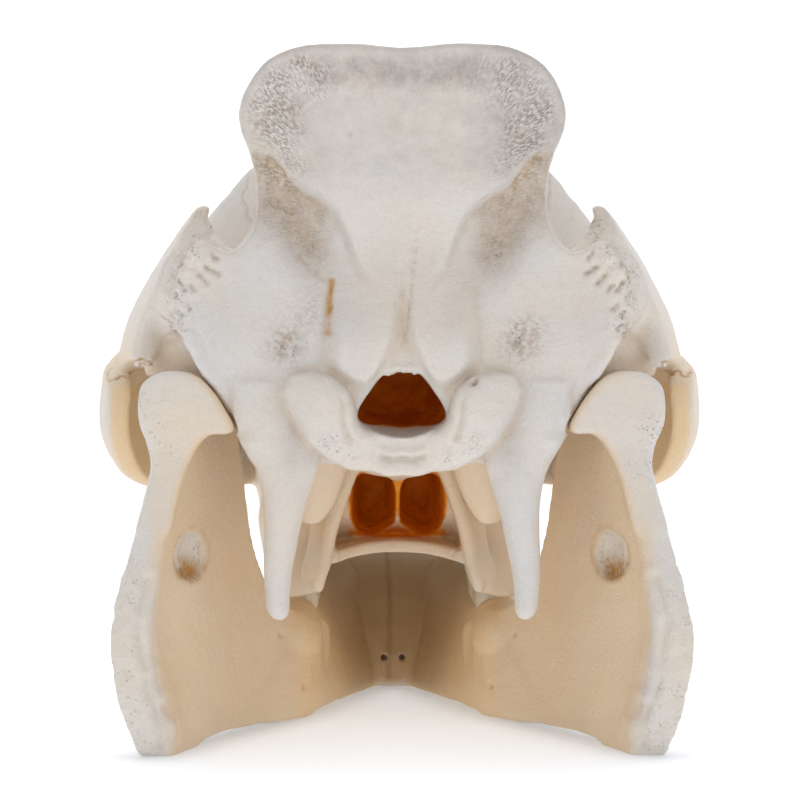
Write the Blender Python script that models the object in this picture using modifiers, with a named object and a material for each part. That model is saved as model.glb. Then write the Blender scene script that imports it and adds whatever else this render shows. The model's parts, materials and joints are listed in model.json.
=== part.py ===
"""Skull of a young adult pig with its lower jaw, life size, resting on the jaw.

The snout points along -Y, the animal's left is +X, and the floor is z = 0.
Sizes are in millimetres. "fwd" is the distance forward of the occipital condyles' rear face,
and a height is above the floor. Run with: blender --background --python part.py
"""

import math

import bmesh
import bpy
import numpy as np
from mathutils import Vector

MM = 0.001

# Driving sizes
CONDYLE_Y = 126.8          # y of the occipital condyles' rear face, which centres the skull on the origin
CHEEK_HALF_WIDTH = 79.5    # outer face of the zygomatic arches
CHEEK_HEIGHT = 85.0        # height where the arches are widest
JOINT_GAP = 0.8            # clearance between the jaw's condyle and its socket
OCCLUSION_REAR = 37.5      # height of the biting plane at the last molars
OCCLUSION_FRONT = 43.0     # and at the first premolars
BITE_GAP = 0.9             # between the upper and the lower cheek teeth
SEAM = 0.3                 # width of the cut between two bones
VOXEL = 1.2                # grid on which the pieces of a bone are fused

CRANIUM_TRIANGLES = 5800
MANDIBLE_TRIANGLES = 3400

BONE = (0.80, 0.76, 0.69, 1.0)
WARM_BONE = (0.74, 0.66, 0.54, 1.0)
ENAMEL = (0.86, 0.82, 0.72, 1.0)


def clear_scene():
    for obj in list(bpy.data.objects):
        bpy.data.objects.remove(obj)


def make_collection(name, hidden=False):
    found = bpy.data.collections.new(name)
    bpy.context.scene.collection.children.link(found)
    found.hide_render = hidden
    return found


def make_material(name, colour, roughness):
    material = bpy.data.materials.new(name)
    material.use_nodes = True
    shader = material.node_tree.nodes["Principled BSDF"]
    shader.inputs["Base Color"].default_value = colour
    shader.inputs["Roughness"].default_value = roughness
    material.diffuse_color = colour
    return material


def place(x, fwd, height):
    """A point in metres from its x, distance forward and height in millimetres."""
    return Vector((x * MM, (CONDYLE_Y - fwd) * MM, height * MM))


def follow(value, table):
    """Smooth curve through a table of (position, size) pairs, read at value."""
    xs = np.array([row[0] for row in table], float)
    ys = np.array([row[1] for row in table], float)
    slopes = np.gradient(ys, xs)
    value = np.clip(np.asarray(value, float), xs[0], xs[-1])
    k = np.clip(np.searchsorted(xs, value) - 1, 0, len(xs) - 2)
    span = xs[k + 1] - xs[k]
    t = (value - xs[k]) / span
    rise = ys[k + 1] - ys[k]
    bend = (1 - t) * (slopes[k] * span - rise) - t * (slopes[k + 1] * span - rise)
    return ys[k] + rise * t + t * (1 - t) * bend


def bell(distance, width):
    return np.exp(-np.square(distance / width))


def ramp(value, start, end):
    t = np.clip((np.asarray(value, float) - start) / (end - start), 0, 1)
    return t * t * (3 - 2 * t)


def rounded(points, steps=4, closed=True):
    """Catmull-Rom curve through the points."""
    points = [np.array(p, float) for p in points]
    count = len(points)
    spans = count if closed else count - 1
    made = []
    for i in range(spans):
        ends = [i - 1, i, i + 1, i + 2]
        p0, p1, p2, p3 = (points[j % count] if closed else points[min(max(j, 0), count - 1)] for j in ends)
        for step in range(steps):
            t = step / steps
            square = (2 * p0 - 5 * p1 + 4 * p2 - p3) * t ** 2
            cube = (3 * p1 - p0 - 3 * p2 + p3) * t ** 3
            made.append(0.5 * (2 * p1 + (p2 - p0) * t + square + cube))
    if not closed:
        made.append(points[-1])
    return made


# Blender objects from these shapes. Each function returns an object in the work collection.

def add_object(name, mesh):
    obj = bpy.data.objects.new(name, mesh)
    WORK.objects.link(obj)
    return obj


def evaluated_mesh(obj):
    bpy.context.view_layer.update()
    graph = bpy.context.evaluated_depsgraph_get()
    return bpy.data.meshes.new_from_object(obj.evaluated_get(graph), depsgraph=graph)


def baked(obj, name=None):
    """The object with its modifiers or curve settings applied, as a plain mesh object."""
    mesh = evaluated_mesh(obj)
    mesh.transform(obj.matrix_world)
    made = add_object(name or obj.name, mesh)
    bpy.data.objects.remove(obj)
    return made


def loft(name, rings):
    """Closed body through rings of points (x, fwd, height), each ring with as many points as the next."""
    bm = bmesh.new()
    loops = [[bm.verts.new(place(*point)) for point in ring] for ring in rings]
    count = len(rings[0])
    for low, high in zip(loops, loops[1:]):
        for i in range(count):
            j = (i + 1) % count
            bm.faces.new((low[i], low[j], high[j], high[i]))
    bm.faces.new(loops[0])
    bm.faces.new(list(reversed(loops[-1])))
    bmesh.ops.recalc_face_normals(bm, faces=bm.faces)
    mesh = bpy.data.meshes.new(name)
    bm.to_mesh(mesh)
    bm.free()
    return add_object(name, mesh)


def ball(name, centre, radii, turn=(0, 0, 0)):
    """Ellipsoid: centre and radii as (x, fwd, height), turned by degrees about X, Y and Z."""
    bm = bmesh.new()
    bmesh.ops.create_uvsphere(bm, u_segments=32, v_segments=20, radius=1)
    mesh = bpy.data.meshes.new(name)
    bm.to_mesh(mesh)
    bm.free()
    obj = add_object(name, mesh)
    obj.location = place(*centre)
    obj.rotation_euler = [math.radians(angle) for angle in turn]
    obj.scale = [radius * MM for radius in radii]
    return baked(obj)


def tube(name, points, steps=5, resolution=4):
    """Round rod along (x, fwd, height, radius) points."""
    curve = bpy.data.curves.new(name, "CURVE")
    curve.dimensions = "3D"
    curve.bevel_depth = MM
    curve.bevel_resolution = resolution
    curve.use_fill_caps = True
    path = rounded(points, steps, closed=False)
    spline = curve.splines.new("POLY")
    spline.points.add(len(path) - 1)
    for point, (x, fwd, height, radius) in zip(spline.points, path):
        point.co = (*place(x, fwd, height), 1)
        point.radius = radius
    obj = baked(add_object(name, curve))
    weld(obj)
    return obj


def weld(obj):
    bm = bmesh.new()
    bm.from_mesh(obj.data)
    bmesh.ops.remove_doubles(bm, verts=bm.verts, dist=0.00002)
    bmesh.ops.recalc_face_normals(bm, faces=bm.faces)
    bm.to_mesh(obj.data)
    bm.free()


def slab(name, outline, thickness, warp=None, grid=None, steps=4):
    """Plate cut to a closed outline (a, b), as a filled and extruded 2D curve.

    warp takes arrays a, b and c, with c running across the thickness, and gives x, fwd and height.
    """
    curve = bpy.data.curves.new(name, "CURVE")
    curve.dimensions = "2D"
    curve.fill_mode = "BOTH"
    curve.extrude = thickness * MM / 2
    path = rounded(outline, steps)
    spline = curve.splines.new("POLY")
    spline.points.add(len(path) - 1)
    for point, (a, b) in zip(spline.points, path):
        point.co = (a * MM, b * MM, 0, 1)
    spline.use_cyclic_u = True
    obj = baked(add_object(name, curve))
    weld(obj)
    if warp:
        obj = remeshed(obj, grid or VOXEL, 2)
        local = points_of(obj) / MM
        x, fwd, height = warp(local[:, 0], local[:, 1], local[:, 2])
        set_points(obj, np.stack([x * MM, (CONDYLE_Y - fwd) * MM, height * MM], axis=1))
        weld(obj)
    return obj


def points_of(obj):
    points = np.empty(len(obj.data.vertices) * 3)
    obj.data.vertices.foreach_get("co", points)
    return points.reshape(-1, 3)


def set_points(obj, points):
    obj.data.vertices.foreach_set("co", np.asarray(points, np.float32).ravel())
    obj.data.update()


def remeshed(obj, grid, smoothing):
    """The object as one even surface: overlapping pieces become one body, rounded where they meet."""
    remesh = obj.modifiers.new("remesh", "REMESH")
    remesh.mode = "VOXEL"
    remesh.voxel_size = grid * MM
    remesh.adaptivity = 0
    if smoothing:
        smooth = obj.modifiers.new("smooth", "SMOOTH")
        smooth.factor = 0.5
        smooth.iterations = smoothing
    return baked(obj)


def joined(name, pieces):
    """One object that holds the meshes of all the pieces, which are removed."""
    bm = bmesh.new()
    for piece in pieces:
        bm.from_mesh(piece.data)
        bpy.data.objects.remove(piece)
    mesh = bpy.data.meshes.new(name)
    bm.to_mesh(mesh)
    bm.free()
    return add_object(name, mesh)


def fuse(name, pieces, smoothing, grid=None):
    return remeshed(joined(name, pieces), grid or VOXEL, smoothing)


def both_sides(pieces):
    """The pieces, made for the animal's left, and their mirror images."""
    made = list(pieces)
    for piece in pieces:
        mesh = piece.data.copy()
        other = add_object(piece.name + "_right", mesh)
        mirrored_points = points_of(other)
        mirrored_points[:, 0] *= -1
        set_points(other, mirrored_points)
        other.data.flip_normals()
        made.append(other)
    return made


def boolean(obj, others, operation, solver="MANIFOLD"):
    """The object cut by, joined with or limited to the others, which are removed."""
    group = bpy.data.collections.new("boolean operands")
    bpy.context.scene.collection.children.link(group)
    for other in others:
        WORK.objects.unlink(other)
        group.objects.link(other)
    modifier = obj.modifiers.new("boolean", "BOOLEAN")
    modifier.operation = operation
    modifier.operand_type = "COLLECTION"
    modifier.collection = group
    modifier.solver = solver
    made = baked(obj)
    for other in list(group.objects):
        bpy.data.objects.remove(other)
    bpy.data.collections.remove(group)
    return made


def push(obj, centre, reach, move, mirror=True):
    """Moves the surface near a point (x, fwd, height) by move, fading out over reach, on both sides."""
    points = points_of(obj)
    spread = np.array(reach, float) * MM
    for side in (1, -1) if mirror else (1,):
        middle = np.array(place(centre[0] * side, centre[1], centre[2]))
        weight = np.exp(-np.square((points - middle) / spread).sum(axis=1))
        step = np.array([move[0] * side, -move[1], move[2]]) * MM
        points = points + weight[:, None] * step
    set_points(obj, points)


def largest_body(obj):
    """Keeps the biggest of the separate closed surfaces in a mesh."""
    bm = bmesh.new()
    bm.from_mesh(obj.data)
    unseen = set(bm.verts)
    bodies = []
    while unseen:
        todo = [unseen.pop()]
        body = list(todo)
        while todo:
            for edge in todo.pop().link_edges:
                for vert in edge.verts:
                    if vert in unseen:
                        unseen.remove(vert)
                        todo.append(vert)
                        body.append(vert)
        faces = {face for vert in body for face in vert.link_faces}
        bodies.append((sum(face.calc_area() for face in faces), body))
    bodies.sort(key=lambda row: row[0])
    for _, body in bodies[:-1]:
        bmesh.ops.delete(bm, geom=body, context="VERTS")
    bm.to_mesh(obj.data)
    bm.free()


def prism(name, outline, x_from, x_to, grow=0.0):
    """Straight-sided block over an outline (fwd, height), from one x to another."""
    obj = slab(name, offset_outline(outline, grow), x_to - x_from + 2 * grow, steps=1)
    local = points_of(obj) / MM
    x = local[:, 2] + (x_from + x_to) / 2
    set_points(obj, np.stack([x * MM, (CONDYLE_Y - local[:, 0]) * MM, local[:, 1] * MM], axis=1))
    weld(obj)
    return obj


def offset_outline(outline, amount):
    """The outline with every side moved outward by an amount."""
    points = [np.array(point, float) for point in outline]
    count = len(points)
    twice_area = sum(points[i - 1][0] * points[i][1] - points[i][0] * points[i - 1][1] for i in range(count))
    turn = 1 if twice_area > 0 else -1
    moved = []
    for i in range(count):
        before = points[i] - points[i - 1]
        after = points[(i + 1) % count] - points[i]
        normals = [turn * np.array([step[1], -step[0]]) / np.linalg.norm(step) for step in (before, after)]
        corner = normals[0] + normals[1]
        moved.append(tuple(points[i] + amount * corner * 2 / np.dot(corner, corner)))
    return moved


# The cranium: roof, braincase, nuchal plate, muzzle, arches and base

ROOF_MID = [  # fwd, height of the midline from the crest to the nasal bones' tips
    (-12, 177), (0, 177), (15, 171.5), (30, 165), (50, 157), (65, 150.5), (80, 143), (95, 134.5),
    (110, 125.5), (125, 116.5), (140, 109), (160, 101.5), (180, 96), (200, 91.5), (220, 88), (243, 84.5),
]


def roof_height(x, fwd):
    """Height of the skull's roof: flat across the middle, falling away to the sides."""
    return follow(fwd, ROOF_MID) - 0.032 * np.square(np.maximum(np.abs(x) - 34, 0))


def roof_plate():
    """Frontal and parietal roof, narrow between the temporal fossae and wide over the orbits."""
    half = [
        (24, 0), (30, 1), (32, 7), (28, 15), (23.5, 27), (24, 38), (30, 48), (38, 56.5), (44, 63),
        (49, 69.5), (54.6, 76.5), (54.4, 84), (48, 89), (45, 96), (44, 105), (42, 114), (38, 122), (31, 130),
        (23, 138), (15, 146),
    ]
    outline = half + [(-x, fwd) for x, fwd in reversed(half)]
    thick = 11.0

    def warp(x, fwd, c):
        thinner = 1 - 0.35 * ramp(np.abs(x), 30, 50)
        top = roof_height(x, fwd)
        return x, fwd, top + (c - thick / 2) * thinner

    return slab("roof", outline, thick, warp)


BRAINCASE = [  # fwd, half width, top, bottom
    (17, 20, 152, 76), (22, 26, 157, 73), (34, 32, 157, 70), (50, 32, 151, 69),
    (63, 28, 145, 68), (74, 24, 139, 67), (88, 20, 132, 64), (104, 18, 125, 60),
]


def softened(value, power):
    """A sine or cosine bent outward, which turns a round ring into one with rounded corners."""
    return math.copysign(abs(value) ** power, value)


def mirrored_outline(half):
    """A closed outline from its left half, which starts and ends on the middle line."""
    return half + [(-x, height) for x, height in reversed(half[1:-1])]


def ellipse_ring(fwd, half_width, top, bottom, power=2.0, count=32):
    ring = []
    middle = (top + bottom) / 2
    half_height = (top - bottom) / 2
    for i in range(count):
        angle = 2 * math.pi * i / count
        across = half_width * softened(math.cos(angle), 2 / power)
        up = half_height * softened(math.sin(angle), 2 / power)
        ring.append((across, fwd, middle + up))
    return ring


def braincase():
    """The brain's box, and the bone that fills the space under the crest."""
    rear = [(10, 22, 169, 146), (16, 23, 167, 138), (28, 22, 163, 130), (44, 24, 157, 120)]
    return [
        loft("braincase", [ellipse_ring(*row, power=2.2) for row in BRAINCASE]),
        loft("crest_core", [ellipse_ring(*row, power=2.6) for row in rear]),
    ]


MUZZLE = [  # fwd, roof height and half width, middle height and half width, gum height and half width
    (78, 132, 16, 88, 16, 58, 14),
    (87, 132, 24, 84, 27, 52, 24),
    (98, 128, 31, 84, 41, 46, 34),
    (112, 122, 31, 84, 43, 45, 35),
    (126, 114, 26, 80, 37, 45.5, 33.5),
    (140, 107, 20.5, 76, 31, 46, 33),
    (156, 101, 17.5, 73, 27, 47, 31.5),
    (175, 96, 16.5, 70, 23.5, 48, 28),
    (193, 91.5, 15.5, 67, 22.5, 49.5, 24.8),
    (208, 87, 14.5, 66, 22.5, 50.5, 22),
    (222, 81, 13.5, 65, 21, 51.5, 19.5),
    (235, 75, 12.5, 63.5, 19.5, 52.5, 18),
    (246, 70, 10.5, 62, 16.5, 53.5, 15.5),
    (254, 65, 7, 60, 11.5, 54.5, 11),
]


def muzzle():
    rings = []
    for fwd, top, top_half, mid, mid_half, gum, gum_half in MUZZLE:
        half = [
            (0, top + 0.6), (top_half * 0.6, top), (top_half, top - 3.5),
            (top_half * 0.6 + mid_half * 0.42, (top + mid) / 2), (mid_half, mid),
            ((mid_half + gum_half) / 2, mid * 0.35 + gum * 0.65), (gum_half, gum + 3),
            (gum_half * 0.86, gum), (gum_half * 0.5, gum + 0.8), (0, gum + 1.6),
        ]
        rings.append([(x, fwd, height) for x, height in rounded(mirrored_outline(half), 3)])
    return loft("muzzle", rings)


def nasals():
    rows = [(128, 15), (150, 14), (175, 13), (200, 12.5), (220, 12), (234, 10.5), (242, 7), (245, 3)]
    rings = []
    for fwd, half in rows:
        top = float(follow(fwd, ROOF_MID))
        rings.append(ellipse_ring(fwd, half, top, top - 8, 2.6, 24))
    return loft("nasals", rings)


NUCHAL_HALF = [  # outline of the plate at the back of the skull: x, height
    (0, 177.6), (6, 178), (13, 178.6), (24, 178.3), (30, 176.6), (34.5, 174), (38, 169.8), (40.4, 165),
    (41, 160.5), (39.8, 155.5), (37.8, 151), (37, 146), (37, 140), (37.8, 134.5), (40.2, 130), (44.3, 127.8),
    (48.5, 129.3), (51.5, 131), (55, 126), (58, 119.5), (58.6, 114), (56.6, 108.2), (53.5, 101), (50.5, 96),
    (47, 90), (44, 84.5), (41, 78.5), (37, 72), (31, 67.5), (25.5, 69.5), (21.5, 73.5), (16, 73.5), (10, 72),
    (0, 72.5),
]
REAR_FACE = [  # height, how far forward the middle of the rear face lies
    (66, 15), (80, 14.5), (92, 11.5), (102, 10.5), (115, 11.5), (128, 11), (140, 8.5), (150, 5), (160, 0),
    (168, -4.5), (178, -10),
]
CREST_V = [  # x, height of the edge from the crest's corner down to the middle line
    (0, 106), (2.3, 111), (5.2, 118), (8.5, 123), (11.9, 128), (13.6, 132.6), (16, 137.4), (20.9, 142.2),
    (25.9, 145.2), (28.6, 148), (32, 152.2), (36, 154.5), (42, 156),
]
HOLLOW_DEPTH = [  # x, how far the hollow sinks in behind that edge
    (0, 0), (6, 0), (10, 1.2), (14, 3.0), (18, 5.0), (23, 6.6), (30, 7.2), (36, 5.6), (42, 3.0), (60, 1),
]
LOBE_LOW = [  # x, height of the lobes' lower edge
    (0, 98), (4.4, 98), (9, 93), (11.6, 93.4), (14.7, 95.2), (18, 98.2), (21, 100),
]
LOBE_INNER = [(92, 5.8), (98, 4.4), (103, 2.4), (108, 1.0), (114, 0.3)]   # height, x of their inner edge
LOBE_OUTER = [(95, 17), (100, 20), (106, 19.4), (114, 18.9), (121, 18.4), (130, 16)]   # and outer edge
VALLEY = [(66, 20), (71, 23), (76, 26), (82.5, 27.8), (89, 29.2), (96, 30)]   # height, x beside the condyle


def nuchal_lobes(side, height):
    """How far the two swellings over the foramen magnum stand out, with a groove on each side of them."""
    inner = follow(height, LOBE_INNER)
    outer = follow(height, LOBE_OUTER)
    rise = ramp(side, inner - 0.5, inner + 2.4) * (1 - ramp(side, outer - 5, outer + 0.6))
    low = follow(side, LOBE_LOW)
    rise = rise * ramp(height, low - 0.8, low + 2.6) * (1 - ramp(height, 103, 130))
    groove = bell(side - outer, 1.3) * ramp(height, 97, 103) * (1 - ramp(height, 116, 126))
    return 4.8 * rise - 1.0 * groove


def nuchal_rear(x, height):
    """How far forward the plate's rear face lies before it is carved."""
    side = np.abs(x)
    corner = 2.4 * ramp(side, 20, 36) * ramp(height, 140, 162)
    mastoid = 5.0 * ramp(side, 44, 56) * ramp(height, 84, 96)
    return follow(height, REAR_FACE) + 0.0022 * side ** 2 - corner - mastoid


def nuchal_carving(x, height):
    """How far the rear face then sinks in: the V's sides, the valleys beside the condyles, the lobes."""
    side = np.abs(x)
    below = follow(side, CREST_V) - height
    hollow = follow(side, HOLLOW_DEPTH) * ramp(below, -0.5, 3.2) * (1 - ramp(below, 7, 30))
    dimple = 1.3 * bell(side - 29.6, 5) * bell(height - 104.5, 4)
    beside = bell(side - follow(height, VALLEY), 3.4)
    valley = 6.0 * beside * ramp(height, 66, 74) * (1 - ramp(height, 82, 92))
    return hollow + dimple + valley - nuchal_lobes(side, height)


def carve_rear(whole):
    """Sinks the rear face in place, so that its edges stay crisp."""
    points = points_of(whole)
    x, y, height = points.T / MM
    fwd = CONDYLE_Y - y
    behind = fwd - nuchal_rear(x, height)
    depth = nuchal_carving(x, height) * (1 - ramp(behind, 3, 9)) * ramp(height, 64, 70)
    points[:, 1] -= depth * MM
    set_points(whole, points)


def nuchal_plate():
    """The upright plate at the back, from the crest down to the condyles."""
    thick = 14.0

    def warp(x, height, c):
        thinner = 1 - 0.45 * ramp(np.abs(x), 36, 56)
        return x, nuchal_rear(x, height) + (c + thick / 2) * thinner, height

    return slab("nuchal_plate", mirrored_outline(NUCHAL_HALF), thick, warp)


ARCH_ALONG = [  # fwd, how much further in than at its widest the arch's outer face lies
    (10, -11), (20, -6), (35, -2), (50, 0), (65, -1.5), (80, -6), (95, -13.5), (110, -23), (125, -34),
    (137, -44),
]


def arch_outer(fwd, height, widest):
    """x of the zygomatic arch's outer face."""
    along = follow(fwd, ARCH_ALONG)
    above = np.maximum(height - CHEEK_HEIGHT, 0)
    below = np.maximum(CHEEK_HEIGHT - height, 0)
    return widest + along - 0.0066 * above ** 2 - 0.026 * below ** 2


TEMPORAL_OUTLINE = [  # fwd, height
    (21.5, 98), (21, 108), (21.2, 119), (21.8, 130), (23, 138), (26, 140), (29.5, 138), (33, 129), (40, 119),
    (49, 111),
    (58, 106), (66, 102), (66, 96), (56, 93), (46, 94), (37, 97), (28, 100), (20, 100),
]
JUGAL_OUTLINE = [
    (29, 87), (29.5, 94), (35, 97.5), (48, 98), (60, 101), (69, 104), (75, 109), (79, 114.5), (84, 111),
    (89, 101), (97, 94.5), (107, 93), (117, 96), (126, 96), (132, 88), (133, 78), (126, 69), (112, 65),
    (94, 64), (76, 64.5), (58, 66.5), (44, 71), (34, 78),
]


def arch_plate(name, outline, thick, widest):
    """Bowed plate of the zygomatic arch, thicker towards the face."""
    def warp(fwd, height, c):
        outer = arch_outer(fwd, height, widest)
        inward = ramp(fwd, 92, 130) * 10
        thin = 1 - 0.42 * ramp(height, 122, 133)
        return outer - (thick / 2 - c) * thin - inward * (c < 0) * 0.6, fwd, height

    return slab(name, outline, thick, warp)


ROOT_BARS = {  # name: (x, fwd, height, radius) along each bar between the braincase, arch and crest
    "root": [(24, 28, 110, 13), (40, 28, 109, 11), (54, 29, 107, 8.2), (66, 29.5, 105, 7)],
    "joint_bar": [(38, 31, 101, 6.5), (52, 31, 100.5, 6.2), (66, 32, 101, 5.5)],
    "meatus": [(40, 25, 116, 9), (50, 28, 120, 7.5), (54.5, 28, 126, 4.8)],
    "edge_bar": [(50.5, 26, 133, 3.2), (54.5, 24.2, 128, 4.2), (58, 23.4, 121, 5.0), (58.8, 23, 113.5, 5.0),
                 (57, 22.4, 107.5, 4.0)],
    "crest_corner": [(35, 4, 165, 5.2), (33, 9, 162, 6), (27, 20, 159, 5.5), (23.5, 34, 154, 4.5)],
    "fossa_corner": [(25, 15, 160, 7), (26, 21, 150, 9), (28.5, 23, 138, 9.5), (32, 25, 124, 10)],
    "crest_to_peak": [(36.5, 8, 156, 3.2), (35, 14, 148, 3.2), (34.6, 17, 140, 3.4),
                      (36.8, 19.5, 131.5, 3.4), (42, 22.5, 125.6, 3.2), (46, 23.6, 126.4, 3.0),
                      (50, 25, 131, 2.6), (51.6, 25.6, 136, 2.2)],
}
POSTORBITAL = {  # x: fwd and height of the front and the rear wall between the temporal fossa and the orbit
    22: [(50, 149), (84, 137), (82, 104), (70, 100), (52, 108)],
    32: [(54, 150), (82, 139), (79, 113), (69, 109), (56, 118)],
    40: [(60, 149), (80, 140), (77, 124), (69, 119), (61, 127)],
    48: [(67, 143), (80, 137), (78, 130), (73, 127), (67, 131)],
    54: [(73, 136), (81, 132), (80, 129.5), (76, 128.5), (73, 130.5)],
}
CONDYLE = [  # inner x and height, outer x and height, fwd of the rear face, from the top to the middle line
    (23.0, 97.4, 28.6, 96.2, 6.4), (17.6, 96.2, 30.2, 92.4, 4.6), (13.4, 92.6, 29.2, 88.6, 3.4),
    (11.8, 88.2, 27.2, 84.6, 3.2), (11.2, 84.6, 24.2, 79.8, 3.8), (8.4, 82.2, 19.6, 75.6, 5.2),
    (4.6, 81.2, 13.4, 72.2, 7.4), (0, 81.0, 3.0, 71.4, 9.2),
]
CONDYLE_FRONT = 18.0       # fwd of the condyles' buried front
CONDYLE_CORNERS = 0.62     # how square their rings are: 1 is round
PARACONDYLAR = [  # x, fwd, height, half width and half depth of the long process outside each condyle
    (34.5, 17.0, 95, 10.0, 5.0), (32.6, 16.0, 86, 10.5, 6.0), (31.0, 15.5, 79, 9.8, 6.2),
    (29.2, 15.0, 73, 8.0, 6.4), (29.4, 14.5, 67, 6.2, 6.0), (30.1, 14.0, 60, 4.9, 5.6),
    (30.9, 14.0, 53, 4.3, 5.0), (31.6, 13.5, 46, 3.6, 4.2), (31.7, 13.0, 40, 3.1, 3.6),
    (31.6, 12.6, 37.4, 3.1, 3.4), (31.4, 12.5, 35.4, 2.5, 2.8), (31.2, 12.5, 34.2, 1.2, 1.4),
]


def temporal_root():
    """Bars that carry the arch from the braincase over the jaw joint, and tie it to the crest."""
    return [tube(name, path) for name, path in ROOT_BARS.items()]


def condyle():
    """Broad, flat-faced body beside and below the foramen magnum."""
    rings = []
    count = 28
    for inner_x, inner_height, outer_x, outer_height, rear in CONDYLE:
        ring = []
        for i in range(count):
            angle = 2 * math.pi * i / count
            share = (1 + softened(math.cos(angle), CONDYLE_CORNERS)) / 2
            deep = (1 - softened(math.sin(angle), CONDYLE_CORNERS)) / 2
            ring.append((inner_x + (outer_x - inner_x) * share, rear + (CONDYLE_FRONT - rear) * deep,
                         inner_height + (outer_height - inner_height) * share))
        rings.append(ring)
    return loft("condyle", rings)


def postorbital():
    """Wall between the temporal fossa and the orbit, under the roof's edge."""
    rings = [[(x, fwd, height) for fwd, height in rounded(outline, 3)] for x, outline in POSTORBITAL.items()]
    return loft("postorbital", rings)


def occipital_details():
    return [condyle(), loft("paracondylar", [blade_ring(*row) for row in PARACONDYLAR])]


def blade_ring(x, fwd, height, wide, deep, count=20):
    """Level ring of an upright process: wide across X and deep along the skull."""
    angles = [2 * math.pi * i / count for i in range(count)]
    return [(x + wide * math.cos(a), fwd + deep * math.sin(a), height) for a in angles]


KEEL = [  # fwd, half width, top, bottom of the base's middle bar
    (8, 11.5, 84, 71), (22, 11.5, 85, 70.5), (38, 12, 86, 70), (54, 11, 86, 70), (70, 12, 86, 69),
    (88, 14, 84, 66),
]
BULLA = [
    (20, 34, 84, 8.0), (21.5, 37, 74, 8.0), (22.5, 40, 66, 6.6), (23.4, 42, 60, 4.4), (23.6, 42.5, 57, 2.4),
]
PTERYGOID_OUTLINE = [  # fwd, height
    (60, 76), (64, 60), (67, 48), (66, 40), (68.5, 36.5), (72, 37), (74, 42), (79, 44), (90, 44), (98, 52),
    (98, 80), (80, 84), (66, 82),
]
PTERYGOID_LEAN = [(34, 22.4), (40, 21.6), (44, 20.2), (52, 18.6), (61, 15.8), (69, 13.0), (84, 11.5)]
PYRAMID = [(20, 78, 60, 3.4), (21.2, 75, 49, 3.6), (22.8, 71.5, 42.5, 3.8), (23.2, 70.5, 39.4, 3.4)]
TUBER = {  # fwd: outline (x, height) of the upper jaw's end behind its last tooth
    79.5: [(21.6, 37.8), (26, 35.6), (31, 35.0), (33.4, 40), (31, 52), (24, 56), (20.6, 46)],
    83.0: [(20.4, 37.0), (25, 34.8), (32, 34.2), (35.6, 39.6), (34, 55), (24, 60), (19.6, 46)],
    87.0: [(20, 38.6), (25, 36.8), (32, 36.6), (36.6, 42), (35, 58), (24, 62), (19, 46)],
    93.0: [(19.6, 43), (25, 42), (32, 42), (37, 46), (38, 60), (24, 66), (18, 48)],
    108: [(19, 47), (25, 46), (32, 46), (36, 48), (38, 62), (24, 66), (17, 50)],
}


def keel():
    return loft("keel", [ellipse_ring(*row, power=2.4) for row in KEEL])


def skull_base():
    """Bulla, pterygoid blade with its hook, and the rear end of the upper jaw."""
    def lean(fwd, height, c):
        return follow(height, PTERYGOID_LEAN) + c, fwd, height

    tuber = [[(x, fwd, height) for x, height in rounded(outline, 3)] for fwd, outline in TUBER.items()]
    return [
        tube("bulla", BULLA),
        slab("pterygoid", PTERYGOID_OUTLINE, 3.6, lean, grid=1.0),
        tube("pyramid", PYRAMID),
        loft("tuber", tuber),
    ]


def palate():
    """Thin roof of the mouth, under the air passages."""
    half = [
        (4, 79.5), (12, 78.5), (18, 76), (24, 82), (28, 95), (27, 120), (25, 150), (22, 185), (20, 215),
        (14, 243), (5, 250),
    ]
    outline = half + [(-x, fwd) for x, fwd in reversed(half)]

    def warp(x, fwd, c):
        middle = follow(fwd, [(76, 48.2), (90, 49.2), (120, 49.8), (160, 50.8), (200, 52.6), (250, 55)])
        return x, fwd, middle + c - 0.0085 * x ** 2 * (1 - ramp(fwd, 84, 110))

    return slab("palate", outline, 3.4, warp)


def canine_sheath():
    return tube("canine_sheath", [(19, 196, 60, 7), (23.5, 203, 57.5, 7.6), (28, 210, 54.5, 6.0)])


# Openings and hollows of the cranium

MAGNUM_HALF = [  # x, height of the hole for the spinal cord
    (0, 98), (3.6, 97.4), (6.2, 95.0), (8.6, 91.6), (10.6, 88.6), (11.4, 85.8), (10.4, 84.2), (7.0, 82.2),
    (3.6, 81.2), (0, 80.8),
]
AIRWAY = [  # fwd, x, height of the middle, half width, half height
    (58, 6.9, 59.6, 6.3, 9.2), (72, 6.8, 59.2, 6.3, 9.2), (90, 6.5, 60.4, 5.9, 9.4),
    (112, 6.3, 62.0, 5.0, 8.6), (124, 6.2, 63.0, 3.4, 6.4),
]
SEPTUM_FOOT_HEIGHT = 4.0   # the septum between the passages widens to the palate over this height
SEPTUM_FOOT_SLOPE = 1.4    # by this much to each side
NOSTRIL = [
    (5.6, 264, 72, 8.0), (5.6, 246, 72.2, 7.6), (5.4, 226, 73.0, 7.2), (5.2, 204, 75, 6.4),
    (5.2, 180, 76.5, 5.2),
]
NOSE_GAP = [  # fwd, height of the notch between the nasal bones' tips and the jaw in front
    (208, 79), (222, 82.2), (240, 80.0), (262, 79), (266, 66), (254, 65), (240, 72), (222, 78),
]
ORBIT = [
    (92, 94, 113, 22), (64, 97, 112.5, 19.2), (50, 99, 111.5, 18.2), (38, 101, 110, 16.5),
    (28, 103, 107, 13), (22, 104, 104, 8),
]


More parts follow.
